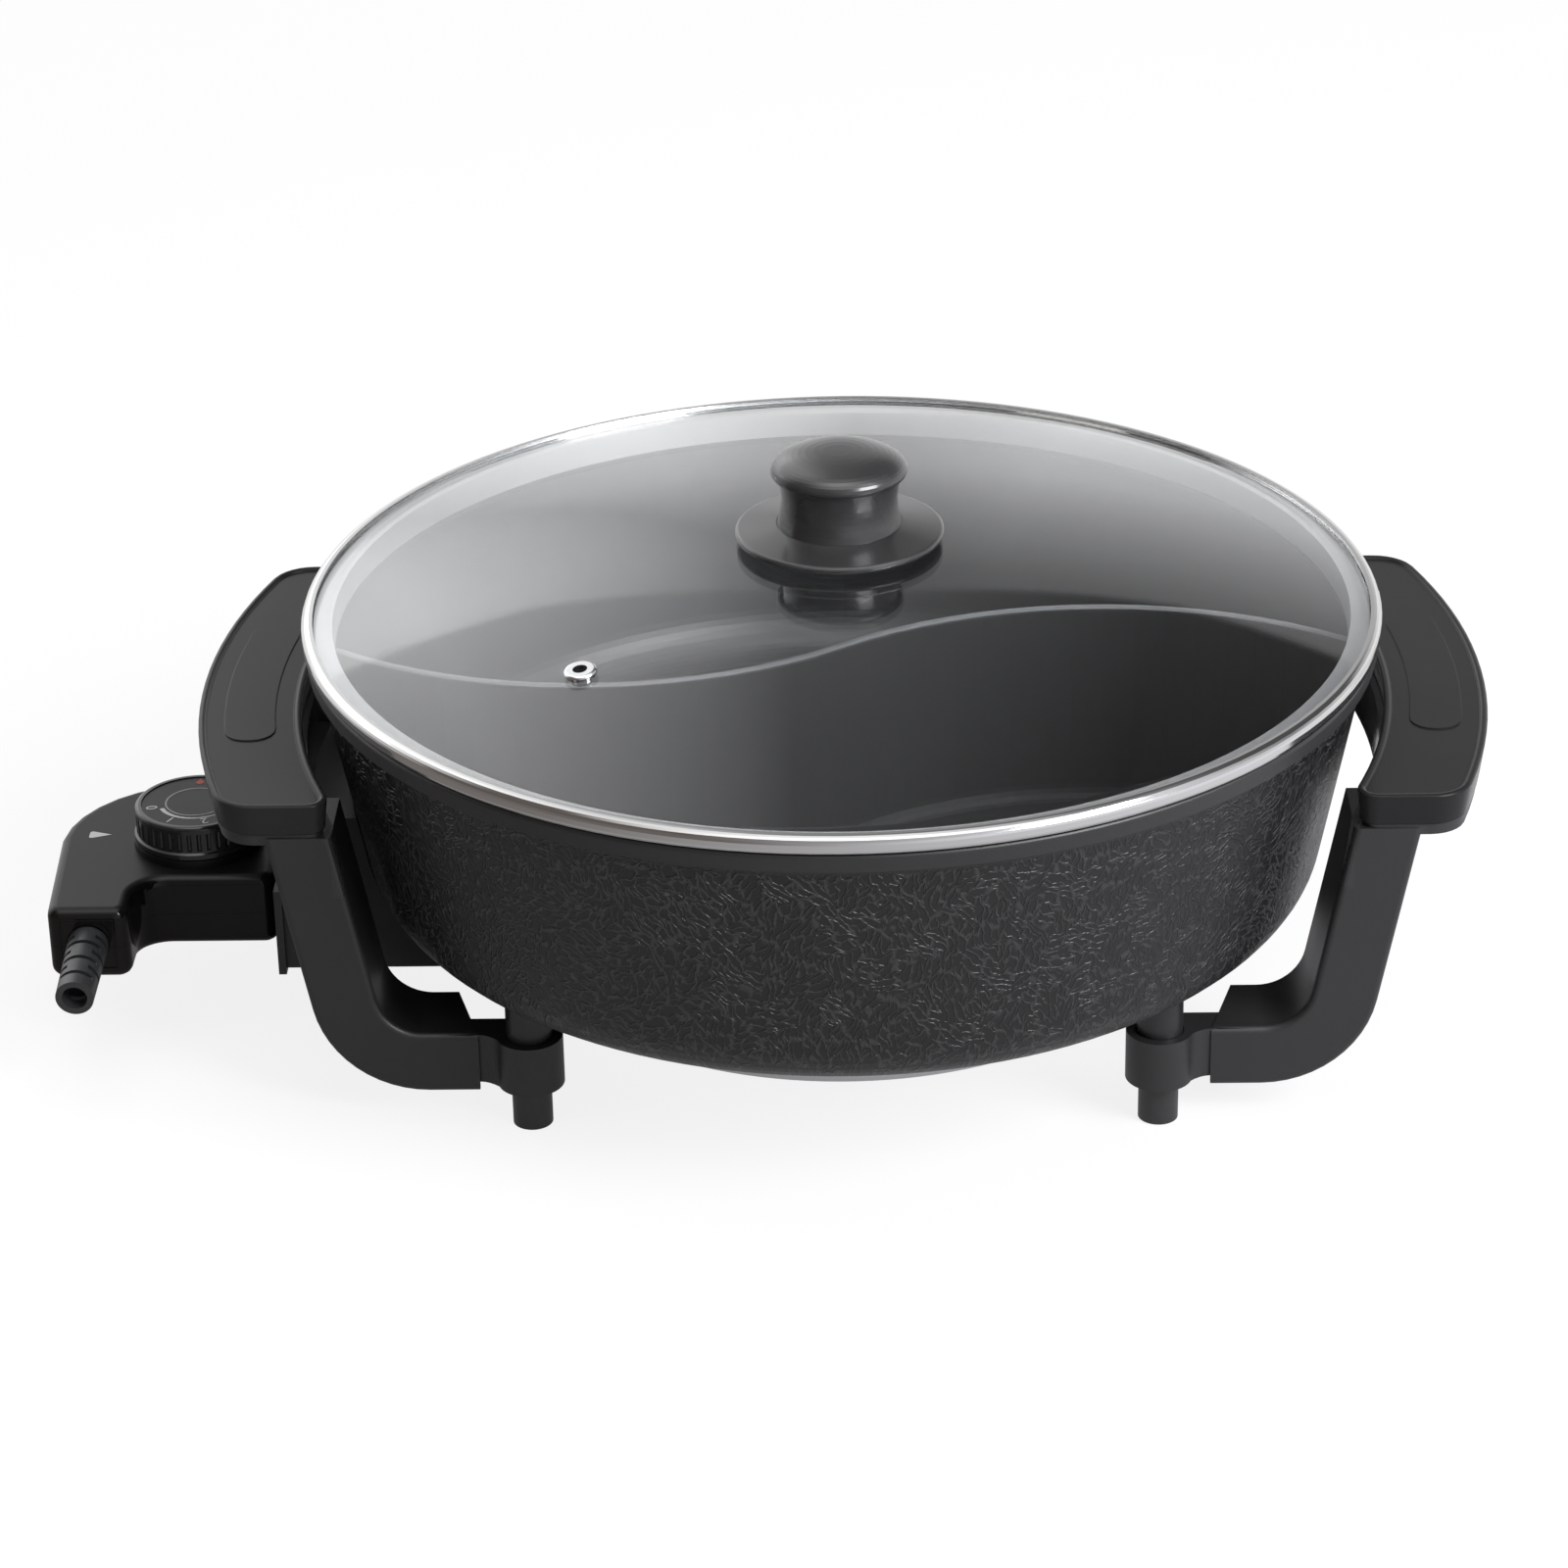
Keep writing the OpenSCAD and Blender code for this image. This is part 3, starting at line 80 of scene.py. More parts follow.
# a socket takes a link from another node or a plain value
def feed(tree, socket, value):
    if isinstance(value, bpy.types.NodeSocket):
        tree.links.new(value, socket)
    else:
        socket.default_value = value


def calc(tree, operation, first, second=None, third=None):
    node = put(tree, "ShaderNodeMath", operation=operation)
    for socket, value in zip(node.inputs, (first, second, third)):
        if value is not None:
            feed(tree, socket, value)
    return node.outputs[0]


def product(tree, first, *others):
    for other in others:
        first = calc(tree, "MULTIPLY", first, other)
    return first


def rangeOf(tree, value, low, high, toLow, toHigh):
    node = put(tree, "ShaderNodeMapRange", clamp=True)
    tree.links.new(value, node.inputs["Value"])
    for name, number in (("From Min", low), ("From Max", high), ("To Min", toLow), ("To Max", toHigh)):
        node.inputs[name].default_value = number
    return node.outputs["Result"]


def blendColour(tree, factor, first, second):
    node = put(tree, "ShaderNodeMix", data_type="RGBA")
    tree.links.new(factor, node.inputs["Factor"])
    for socket, value in ((node.inputs[6], first), (node.inputs[7], second)):
        feed(tree, socket, (*value, 1) if isinstance(value, tuple) else value)
    return node.outputs[2]


def blendValue(tree, factor, first, second):
    node = put(tree, "ShaderNodeMix")
    tree.links.new(factor, node.inputs["Factor"])
    feed(tree, node.inputs[2], first)
    feed(tree, node.inputs[3], second)
    return node.outputs[0]


def newGroup(name, inputs, outputs):
    group = bpy.data.node_groups.new(name, "ShaderNodeTree")
    for label, kind, value in inputs:
        socket = group.interface.new_socket(label, in_out="INPUT", socket_type="NodeSocket" + kind)
        if value is not None:
            socket.default_value = value
    for label, kind in outputs:
        group.interface.new_socket(label, in_out="OUTPUT", socket_type="NodeSocket" + kind)
    return group, group.nodes.new("NodeGroupInput"), group.nodes.new("NodeGroupOutput")


def useGroup(tree, group, vector, **values):
    node = tree.nodes.new("ShaderNodeGroup")
    node.node_tree = group
    tree.links.new(vector, node.inputs["Vector"])
    for key, value in values.items():
        node.inputs[key].default_value = value
    return node


# distance from an upright axis, and the point's own coordinates
def fromAxis(tree, coords, axisX=0.0, mirrored=False):
    point = put(tree, "ShaderNodeSeparateXYZ")
    tree.links.new(coords, point.inputs[0])
    x = calc(tree, "ABSOLUTE", point.outputs["X"]) if mirrored else point.outputs["X"]
    across = calc(tree, "SUBTRACT", x, axisX)
    squares = [product(tree, side, side) for side in (across, point.outputs["Y"])]
    return calc(tree, "SQRT", calc(tree, "ADD", *squares)), point.outputs


# weighted mean of two noise textures
def mixNoise(tree, first, second, share):
    rest = product(tree, second.outputs["Fac"], 1 - share)
    return calc(tree, "MULTIPLY_ADD", first.outputs["Fac"], share, rest)


# moulded grain: fine pits with a slow drift in gloss
def makeMouldGrain():
    group, given, out = newGroup(
        "mouldGrain",
        [("Vector", "Vector", None), ("Pits", "Float", 1400.0), ("Drift", "Float", 28.0)],
        [("Height", "Float"), ("Gloss", "Float")],
    )
    pits = put(group, "ShaderNodeTexNoise", Detail=3.0, Roughness=0.6)
    drift = put(group, "ShaderNodeTexNoise", Detail=4.0, Roughness=0.55)
    for node, label in ((pits, "Pits"), (drift, "Drift")):
        group.links.new(given.outputs["Vector"], node.inputs["Vector"])
        group.links.new(given.outputs[label], node.inputs["Scale"])
    group.links.new(pits.outputs["Fac"], out.inputs["Height"])
    group.links.new(mixNoise(group, pits, drift, 0.3), out.inputs["Gloss"])
    return group


# turned lines: rings round the object's own axis, as on spun and polished sheet
def makeTurnedLines():
    group, given, out = newGroup(
        "turnedLines",
        [("Vector", "Vector", None), ("Lines", "Float", 2200.0), ("Smear", "Float", 40.0)],
        [("Height", "Float"), ("Gloss", "Float")],
    )
    radius, point = fromAxis(group, given.outputs["Vector"])
    ring = put(group, "ShaderNodeCombineXYZ")
    group.links.new(radius, ring.inputs[0])
    group.links.new(point["Z"], ring.inputs[1])
    lines = put(group, "ShaderNodeTexNoise", Detail=2.0)
    smear = put(group, "ShaderNodeTexNoise", Detail=4.0, Roughness=0.6)
    group.links.new(ring.outputs[0], lines.inputs["Vector"])
    group.links.new(given.outputs["Lines"], lines.inputs["Scale"])
    group.links.new(given.outputs["Vector"], smear.inputs["Vector"])
    group.links.new(given.outputs["Smear"], smear.inputs["Scale"])
    group.links.new(lines.outputs["Fac"], out.inputs["Height"])
    group.links.new(mixNoise(group, lines, smear, 0.45), out.inputs["Gloss"])
    return group


mouldGrain = makeMouldGrain()
turnedLines = makeTurnedLines()


# start of a material: Principled shader, object coordinates
def startMaterial(name):
    material = bpy.data.materials.new(name)
    material.use_nodes = True
    tree = material.node_tree
    shader = tree.nodes["Principled BSDF"]
    coords = put(tree, "ShaderNodeTexCoord").outputs["Object"]
    return material, tree, shader, coords


def bumpInto(tree, shader, height, strength, depth):
    bump = put(tree, "ShaderNodeBump", Strength=strength, Distance=depth)
    tree.links.new(height, bump.inputs["Height"])
    tree.links.new(bump.outputs["Normal"], shader.inputs["Normal"])


# values that the finishes share
finishLook = dict(gloss=(0.3, 0.7), coatRough=0.08, grainDepth=0.0002, lineDepth=0.0001)


# roughness that follows a texture's gloss
def roughFrom(tree, texture, ends):
    return rangeOf(tree, texture.outputs["Gloss"], *finishLook["gloss"], *ends)


# moulded plastics and rubber
def makePlastic(name, look, mask=None):
    material, tree, shader, coords = startMaterial(name)
    grain = useGroup(tree, mouldGrain, coords, Pits=look["pits"], Drift=look["drift"])
    colour = blendColour(tree, grain.outputs["Gloss"], look["dark"], look["light"])
    rough = roughFrom(tree, grain, look["rough"])
    if mask:
        area = mask(tree, coords)
        rough = blendValue(tree, area, rough, look["masked"])
        colour = blendColour(tree, area, colour, look.get("maskedColour", look["light"]))
    tree.links.new(colour, shader.inputs["Base Color"])
    tree.links.new(rough, shader.inputs["Roughness"])
    shader.inputs["Specular IOR Level"].default_value = look.get("specular", 0.5)
    shader.inputs["Coat Weight"].default_value = look.get("coat", 0.0)
    shader.inputs["Coat Roughness"].default_value = finishLook["coatRough"]
    bumpInto(tree, shader, grain.outputs["Height"], look["bump"], finishLook["grainDepth"])
    return material


# bare and polished metals
def makeMetal(name, look, satin=None):
    material, tree, shader, coords = startMaterial(name)
    lines = useGroup(tree, turnedLines, coords, Lines=look["lines"], Smear=look["smear"])
    colour = blendColour(tree, lines.outputs["Gloss"], look["dark"], look["light"])
    rough = roughFrom(tree, lines, look["rough"])
    if satin:
        mask = satin(tree, coords)
        colour = blendColour(tree, mask, colour, look["satinColour"])
        rough = blendValue(tree, mask, rough, look["satinRough"])
    tree.links.new(colour, shader.inputs["Base Color"])
    shader.inputs["Metallic"].default_value = 1.0
    tree.links.new(rough, shader.inputs["Roughness"])
    bumpInto(tree, shader, lines.outputs["Height"], look["bump"], finishLook["lineDepth"])
    return material


# a narrow band on the frames' curved walls under the grips is glossier and painted a lighter grey, a painted
# sheen
bowSheenLook = dict(axisX=-0.0525, radius=0.2035, half=0.0016, low=0.0705, high=0.0893)


def bowSheenMask(tree, coords):
    radius, point = fromAxis(tree, coords, bowSheenLook["axisX"], mirrored=True)
    off = calc(tree, "ABSOLUTE", calc(tree, "SUBTRACT", radius, bowSheenLook["radius"]))
    near = calc(tree, "LESS_THAN", off, bowSheenLook["half"])
    over = calc(tree, "GREATER_THAN", point["Z"], bowSheenLook["low"])
    under = calc(tree, "LESS_THAN", point["Z"], bowSheenLook["high"])
    return product(tree, near, product(tree, over, under))


# the housing's top is satin, its sides are bright
topLook = dict(low=0.0462, high=0.0474)


def topMask(tree, coords):
    point = fromAxis(tree, coords)[1]
    return rangeOf(tree, point["Z"], topLook["low"], topLook["high"], 0.0, 1.0)


# the divider's top edge is worn, and it is painted a lighter grey line as a painted highlight
crestLook = dict(depth=0.0006)


def wornCrestHighlightMask(tree, coords):
    point = fromAxis(tree, coords)[1]
    return calc(tree, "GREATER_THAN", point["Z"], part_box("divider")[1].z - crestLook["depth"])


# the lid rim's skirt is left satin inside
skirtLook = dict(radius=0.1466, low=0.1122)


def skirtMask(tree, coords):
    radius, point = fromAxis(tree, coords)
    inside = calc(tree, "LESS_THAN", radius, skirtLook["radius"])
    return product(tree, inside, calc(tree, "GREATER_THAN", point["Z"], skirtLook["low"]))


# the frames' masked band takes the lighter colour as a painted sheen
framePlastic = makePlastic("framePlastic", dict(
    dark=(0.010, 0.010, 0.0105), light=(0.018, 0.018, 0.0186), rough=(0.36, 0.48),
    pits=1500.0, drift=22.0, bump=0.12, masked=0.12), bowSheenMask)
gripPlastic = makePlastic("gripPlastic", dict(
    dark=(0.011, 0.011, 0.0115), light=(0.017, 0.017, 0.0175), rough=(0.2, 0.28),
    pits=420.0, drift=30.0, bump=0.02, specular=0.12))
knobPlastic = makePlastic("knobPlastic", dict(
    dark=(0.021, 0.021, 0.0216), light=(0.030, 0.030, 0.0308), rough=(0.2, 0.28),
    pits=900.0, drift=60.0, bump=0.03, coat=0.25))
housingPlastic = makePlastic("housingPlastic", dict(
    dark=(0.004, 0.0038, 0.0035), light=(0.0065, 0.006, 0.0056), rough=(0.06, 0.11),
    pits=300.0, drift=40.0, bump=0.012, specular=0.22, masked=0.42), topMask)
dialPlastic = makePlastic("dialPlastic", dict(
    dark=(0.010, 0.010, 0.010), light=(0.016, 0.016, 0.016), rough=(0.12, 0.2),
    pits=900.0, drift=90.0, bump=0.02, specular=0.5))
# the divider's top edge: a worn line with a painted highlight, lighter grey and smoother
floorCoating = makePlastic("floorCoating", dict(
    dark=(0.0045, 0.0045, 0.0048), light=(0.0080, 0.0080, 0.0083), rough=(0.42, 0.52),
    pits=2600.0, drift=18.0, bump=0.01, specular=0.1,
    masked=0.3, maskedColour=(0.09, 0.09, 0.092)), wornCrestHighlightMask)
lugCoating = makePlastic("lugCoating", dict(
    dark=(0.009, 0.009, 0.0095), light=(0.015, 0.015, 0.0155), rough=(0.3, 0.4),
    pits=1500.0, drift=60.0, bump=0.05))
nosePlastic = makePlastic("nosePlastic", dict(
    dark=(0.008, 0.008, 0.008), light=(0.014, 0.014, 0.014), rough=(0.45, 0.6),
    pits=1500.0, drift=60.0, bump=0.1))
dialFace = makePlastic("dialFace", dict(
    dark=(0.008, 0.008, 0.009), light=(0.014, 0.014, 0.015), rough=(0.32, 0.42),
    pits=2200.0, drift=90.0, bump=0.03, specular=0.2))
footRubber = makePlastic("footRubber", dict(
    dark=(0.015, 0.015, 0.0155), light=(0.024, 0.024, 0.0245), rough=(0.34, 0.44),
    pits=1200.0, drift=120.0, bump=0.08))
softRubber = makePlastic("softRubber", dict(
    dark=(0.014, 0.015, 0.0155), light=(0.024, 0.025, 0.026), rough=(0.32, 0.44),
    pits=1300.0, drift=130.0, bump=0.06))
printWhite = makePlastic("printWhite", dict(
    dark=(0.50, 0.51, 0.51), light=(0.66, 0.67, 0.67), rough=(0.45, 0.6),
    pits=3000.0, drift=400.0, bump=0.05))
printGrey = makePlastic("printGrey", dict(
    dark=(0.24, 0.24, 0.245), light=(0.34, 0.34, 0.345), rough=(0.45, 0.6),
    pits=3000.0, drift=400.0, bump=0.05))
printRed = makePlastic("printRed", dict(
    dark=(0.30, 0.035, 0.02), light=(0.42, 0.06, 0.04), rough=(0.45, 0.6),
    pits=3000.0, drift=400.0, bump=0.05))
steatite = makePlastic("steatite", dict(
    dark=(0.70, 0.67, 0.60), light=(0.82, 0.80, 0.74), rough=(0.35, 0.5),
    pits=1600.0, drift=150.0, bump=0.05))
polishedSteel = makeMetal("polishedSteel", dict(
    dark=(0.62, 0.62, 0.63), light=(0.76, 0.76, 0.77), rough=(0.12, 0.19),
    lines=2600.0, smear=25.0, bump=0.02))
rimSteel = makeMetal("rimSteel", dict(
    dark=(0.55, 0.545, 0.54), light=(0.68, 0.675, 0.67), rough=(0.08, 0.14),
    lines=2600.0, smear=25.0, bump=0.02, satinColour=(0.44, 0.44, 0.445), satinRough=0.5), skirtMask)
plainSteel = makeMetal("plainSteel", dict(
    dark=(0.42, 0.42, 0.43), light=(0.58, 0.58, 0.58), rough=(0.25, 0.4),
    lines=2400.0, smear=140.0, bump=0.05))
pressedAluminium = makeMetal("pressedAluminium", dict(
    dark=(0.38, 0.38, 0.39), light=(0.52, 0.52, 0.52), rough=(0.22, 0.34),
    lines=1600.0, smear=30.0, bump=0.05))
coverAluminium = makeMetal("coverAluminium", dict(
    dark=(0.50, 0.50, 0.505), light=(0.64, 0.64, 0.64), rough=(0.2, 0.3),
    lines=1600.0, smear=30.0, bump=0.05))
heaterSheath = makeMetal("heaterSheath", dict(
    dark=(0.16, 0.14, 0.13), light=(0.28, 0.26, 0.24), rough=(0.4, 0.6),
    lines=900.0, smear=60.0, bump=0.08))
contactBrass = makeMetal("contactBrass", dict(
    dark=(0.46, 0.33, 0.13), light=(0.62, 0.46, 0.2), rough=(0.25, 0.4),
    lines=1800.0, smear=160.0, bump=0.04))
print("plastics and metals made")

# cast pan: black coating, smooth inside and on the rim band, embossed leaf strokes on the wall
panLook = dict(
    dark=(0.0045, 0.0045, 0.0048), light=(0.0080, 0.0080, 0.0083),
    inside=(0.42, 0.52), outside=(0.33, 0.42), specular=0.4,
    raised=(0.020, 0.020, 0.0205), band=(0.016, 0.016, 0.0165),
    rimBottom=0.1122, wallTop=0.1465, lean=math.tan(math.radians(10.7)), wallGap=0.0016, floorLevel=0.0465,
    bandFrom=0.0016, bandTo=0.0004, unrollRadius=0.13, unrollLean=0.9,
    patch=150.0, stroke=620.0, emboss=0.0003, pits=2600.0, drift=18.0, grainShare=0.16,
)


# leaf strokes: patches, each with its own direction, filled with thin lines round long narrow cells
strokeLook = dict(wobble=240.0, sway=(0.004, 0.004, 0.0), stretch=(1.0, 0.3, 1.0), ridge=(0.03, 0.17))


def makeLeafStrokes():
    group, given, out = newGroup(
        "leafStrokes",
        [("Vector", "Vector", None), ("Patch", "Float", 75.0), ("Stroke", "Float", 600.0)],
        [("Height", "Float")],
    )
    wobble = put(group, "ShaderNodeTexNoise", Scale=strokeLook["wobble"], Detail=2.0)
    group.links.new(given.outputs["Vector"], wobble.inputs["Vector"])
    shifted = put(group, "ShaderNodeVectorMath", operation="MULTIPLY_ADD")
    group.links.new(wobble.outputs["Color"], shifted.inputs[0])
    shifted.inputs[1].default_value = strokeLook["sway"]
    group.links.new(given.outputs["Vector"], shifted.inputs[2])
    cells = put(group, "ShaderNodeTexVoronoi", voronoi_dimensions="2D", feature="F1", Randomness=1.0)
    group.links.new(shifted.outputs[0], cells.inputs["Vector"])
    group.links.new(given.outputs["Patch"], cells.inputs["Scale"])
    picked = put(group, "ShaderNodeSeparateColor")
    group.links.new(cells.outputs["Color"], picked.inputs[0])
    angle = product(group, picked.outputs[0], math.pi)
    turned = put(group, "ShaderNodeVectorRotate", rotation_type="Z_AXIS")
    group.links.new(shifted.outputs[0], turned.inputs["Vector"])
    group.links.new(angle, turned.inputs["Angle"])
    stretched = put(group, "ShaderNodeVectorMath", operation="MULTIPLY")
    group.links.new(turned.outputs[0], stretched.inputs[0])
    stretched.inputs[1].default_value = strokeLook["stretch"]
    leaves = put(group, "ShaderNodeTexVoronoi", voronoi_dimensions="2D",
                 feature="DISTANCE_TO_EDGE", Randomness=1.0)
    group.links.new(stretched.outputs[0], leaves.inputs["Vector"])
    group.links.new(given.outputs["Stroke"], leaves.inputs["Scale"])
    ridge = rangeOf(group, leaves.outputs["Distance"], *strokeLook["ridge"], 1.0, 0.0)
    group.links.new(ridge, out.inputs["Height"])
    return group


leafStrokes = makeLeafStrokes()


def makePanCoating():
    material, tree, shader, coords = startMaterial("panCoating")
    radius, point = fromAxis(tree, coords)
    # the wall unrolled: arc length round the pan and height
    turn = calc(tree, "ARCTAN2", point["Y"], point["X"])
    unrolled = put(tree, "ShaderNodeCombineXYZ")
    tree.links.new(product(tree, turn, panLook["unrollRadius"]), unrolled.inputs[0])
    height = calc(tree, "SUBTRACT", point["Z"], product(tree, radius, panLook["unrollLean"]))
    tree.links.new(height, unrolled.inputs[1])
    # outside of the wall, up to the rim band
    drop = calc(tree, "SUBTRACT", point["Z"], panLook["rimBottom"])
    line = calc(tree, "MULTIPLY_ADD", drop, panLook["lean"], panLook["wallTop"] - panLook["wallGap"])
    outer = calc(tree, "GREATER_THAN", radius, line)
    outside = calc(tree, "MAXIMUM", outer, calc(tree, "LESS_THAN", point["Z"], panLook["floorLevel"]))
    below = rangeOf(tree, point["Z"], panLook["rimBottom"] - panLook["bandFrom"],
                    panLook["rimBottom"] - panLook["bandTo"], 1.0, 0.0)
    strokes = useGroup(tree, leafStrokes, unrolled.outputs[0],
                       Patch=panLook["patch"], Stroke=panLook["stroke"])
    grain = useGroup(tree, mouldGrain, coords, Pits=panLook["pits"], Drift=panLook["drift"])
    embossed = product(tree, strokes.outputs["Height"], product(tree, outside, below))
    pitted = product(tree, grain.outputs["Height"], outside)
    relief = calc(tree, "MULTIPLY_ADD", pitted, panLook["grainShare"], embossed)
    # painted highlight: the embossed strokes are painted a lighter grey; the rim band is painted a lighter
    # grey too, a painted sheen
    colour = blendColour(tree, grain.outputs["Gloss"], panLook["dark"], panLook["light"])
    colour = blendColour(tree, embossed, colour, panLook["raised"])
    band = product(tree, outer, calc(tree, "SUBTRACT", 1.0, below))
    colour = blendColour(tree, band, colour, panLook["band"])
    rough = blendValue(tree, outside, roughFrom(tree, grain, panLook["inside"]),
                       roughFrom(tree, grain, panLook["outside"]))
    tree.links.new(colour, shader.inputs["Base Color"])
    tree.links.new(rough, shader.inputs["Roughness"])
    shader.inputs["Specular IOR Level"].default_value = panLook["specular"]
    bumpInto(tree, shader, relief, 1.0, panLook["emboss"])
    return material


panCoating = makePanCoating()
print("pan coating made")

# clear tempered glass, with faint smears
glassLook = dict(tint=(0.945, 0.955, 0.96), shadow=(0.9, 0.92, 0.92), index=1.5,
                 pits=20.0, drift=9.0, smearFrom=(0.35, 0.7), smear=(0.0, 0.004))


def makeLidGlass():
    material, tree, shader, coords = startMaterial("lidGlass")
    smears = useGroup(tree, mouldGrain, coords, Pits=glassLook["pits"], Drift=glassLook["drift"])
    shader.inputs["Base Color"].default_value = (*glassLook["tint"], 1)
    shader.inputs["Transmission Weight"].default_value = 1.0
    shader.inputs["IOR"].default_value = glassLook["index"]
    rough = rangeOf(tree, smears.outputs["Gloss"], *glassLook["smearFrom"], *glassLook["smear"])
    tree.links.new(rough, shader.inputs["Roughness"])
    clear = put(tree, "ShaderNodeBsdfTransparent", Color=(*glassLook["shadow"], 1))
    path = put(tree, "ShaderNodeLightPath")
    mixer = put(tree, "ShaderNodeMixShader")
    tree.links.new(path.outputs["Is Shadow Ray"], mixer.inputs[0])
    tree.links.new(shader.outputs[0], mixer.inputs[1])
    tree.links.new(clear.outputs[0], mixer.inputs[2])
    tree.links.new(mixer.outputs[0], tree.nodes["Material Output"].inputs["Surface"])
    return material


lidGlass = makeLidGlass()
print("glass made")

# finish of each CAD node
finishes = {
    panCoating: ["pan"],
    floorCoating: ["pan_floor", "divider"],
    lugCoating: ["pan_lugs"],
    lidGlass: ["lid_glass"],
    rimSteel: ["lid_rim"],
    polishedSteel: ["vent_eyelet"],
    coverAluminium: ["base_cover"],
    pressedAluminium: ["heater_plate", "probe_socket"],
    plainSteel: ["cover_screw", "terminal_pins", "guard_screws", "grip_screws", "foot_screws", "knob_screw",
                 "sensor_probe", "housing_screws", "dial_shaft"],
    heaterSheath: ["heating_element"],
    framePlastic: ["left_handle_frame", "right_handle_frame", "inlet_guard"],
    footRubber: ["foot_front_left", "foot_front_right", "foot_rear_left", "foot_rear_right"],
    gripPlastic: ["left_grip", "right_grip"],
    knobPlastic: ["knob", "knob_base"],
    housingPlastic: ["controller_top", "controller_bottom"],
    dialPlastic: ["dial"],
    nosePlastic: ["plug_nose"],
    dialFace: ["dial_plate"],
    softRubber: ["knob_gasket", "strain_relief"],
    steatite: ["terminal_insulators"],
    contactBrass: ["terminal_clips", "thermostat"],
}
for material, names in finishes.items():
    for name in names:
        for materialSlot in nodes[name].material_slots:
            materialSlot.material = material
print("finishes assigned")

# smoothed copies of the moulded shells, with softened edges
copyLook = [
    dict(node="controller_top", name="controllerTopShell", body="controller", slot="housing_plastic",
         finish=housingPlastic, edge=0.0005),
    dict(node="controller_bottom", name="controllerBottomShell", body="controller", slot="housing_plastic",
         finish=housingPlastic, edge=0.0004),
    dict(node="left_grip", name="leftGripCap", body="pot", slot="grip_plastic",
         finish=gripPlastic, edge=0.0003),
    dict(node="right_grip", name="rightGripCap", body="pot", slot="grip_plastic",
         finish=gripPlastic, edge=0.0003),
    dict(node="left_handle_frame", name="leftFrame", body="pot", slot="frame_plastic",
         finish=framePlastic, edge=0.0006),
    dict(node="right_handle_frame", name="rightFrame", body="pot", slot="frame_plastic",
         finish=framePlastic, edge=0.0006),
]
shellLook = dict(weld=0.00002, flat=math.radians(0.4), sharp=math.radians(40), segments=2)


def finishPiece(piece, body, material):
    piece.data.materials.clear()
    piece.data.materials.append(material)
    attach(piece, body)


def smoothCopy(look):
    bpy.ops.object.select_all(action="DESELECT")
    piece = bpy.data.objects.new(look["name"], nodes[look["node"]].data.copy())
    bpy.context.scene.collection.objects.link(piece)
    piece.select_set(True)
    bpy.context.view_layer.objects.active = piece
    bpy.ops.object.mode_set(mode="EDIT")
    bpy.ops.mesh.select_all(action="SELECT")
    bpy.ops.mesh.remove_doubles(threshold=shellLook["weld"])
    bpy.ops.mesh.dissolve_limited(angle_limit=shellLook["flat"])
    bpy.ops.mesh.customdata_custom_splitnormals_clear()
    bpy.ops.object.mode_set(mode="OBJECT")
    bevel = piece.modifiers.new("softEdge", "BEVEL")
    bevel.width = look["edge"]
    bevel.segments = shellLook["segments"]
    bevel.limit_method = "ANGLE"
    bevel.angle_limit = shellLook["sharp"]
    bpy.ops.object.modifier_apply(modifier=bevel.name)
    bpy.ops.object.shade_smooth_by_angle(angle=shellLook["sharp"])
    weighted = piece.modifiers.new("flatFaces", "WEIGHTED_NORMAL")
    weighted.keep_sharp = True
    bpy.ops.object.modifier_apply(modifier=weighted.name)
    finishPiece(piece, look["body"], look["finish"])
    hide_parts(look["node"])


for look in copyLook:
    smoothCopy(look)
print("shells smoothed")


# in edit mode, select the vertices that pass a test
def pickVertices(piece, test):
    bpy.ops.mesh.select_all(action="DESELECT")
    bpy.ops.object.mode_set(mode="OBJECT")
    for vertex in piece.data.vertices:
        vertex.select = test(vertex.co)
    bpy.ops.object.mode_set(mode="EDIT")


# glass dome, drawn out ring by ring from a fine profile so that its reflections run smooth
domeLook = dict(hole=0.003, span=0.1458, edge=0.1478, rise=0.018, thick=0.003, rings=36, sides=192,
                vent=(-0.0685, -0.0695), ventHole=0.0035, ventSides=48, ventDepth=0.02, slack=1.01)


def domeProfile():
    hole, span, rise = domeLook["hole"], domeLook["span"], domeLook["rise"]
    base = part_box("lid_glass")[0].z
    inner = (span ** 2 + rise ** 2) / (2 * rise)
    outer = inner + domeLook["thick"]
    centre = base + rise - inner

    def onSphere(radius, sphere):
        return radius, centre + math.sqrt(sphere * sphere - radius * radius)

    steps = [hole + (span - hole) * i / domeLook["rings"] for i in range(domeLook["rings"] + 1)]
    over = [onSphere(hole, outer)] + [onSphere(step * outer / inner, outer) for step in steps[1:]]
    rim = [(domeLook["edge"], base + domeLook["thick"]), (domeLook["edge"], base)]
    under = [onSphere(step, inner) for step in reversed(steps)]
    return over + rim + under, centre, outer


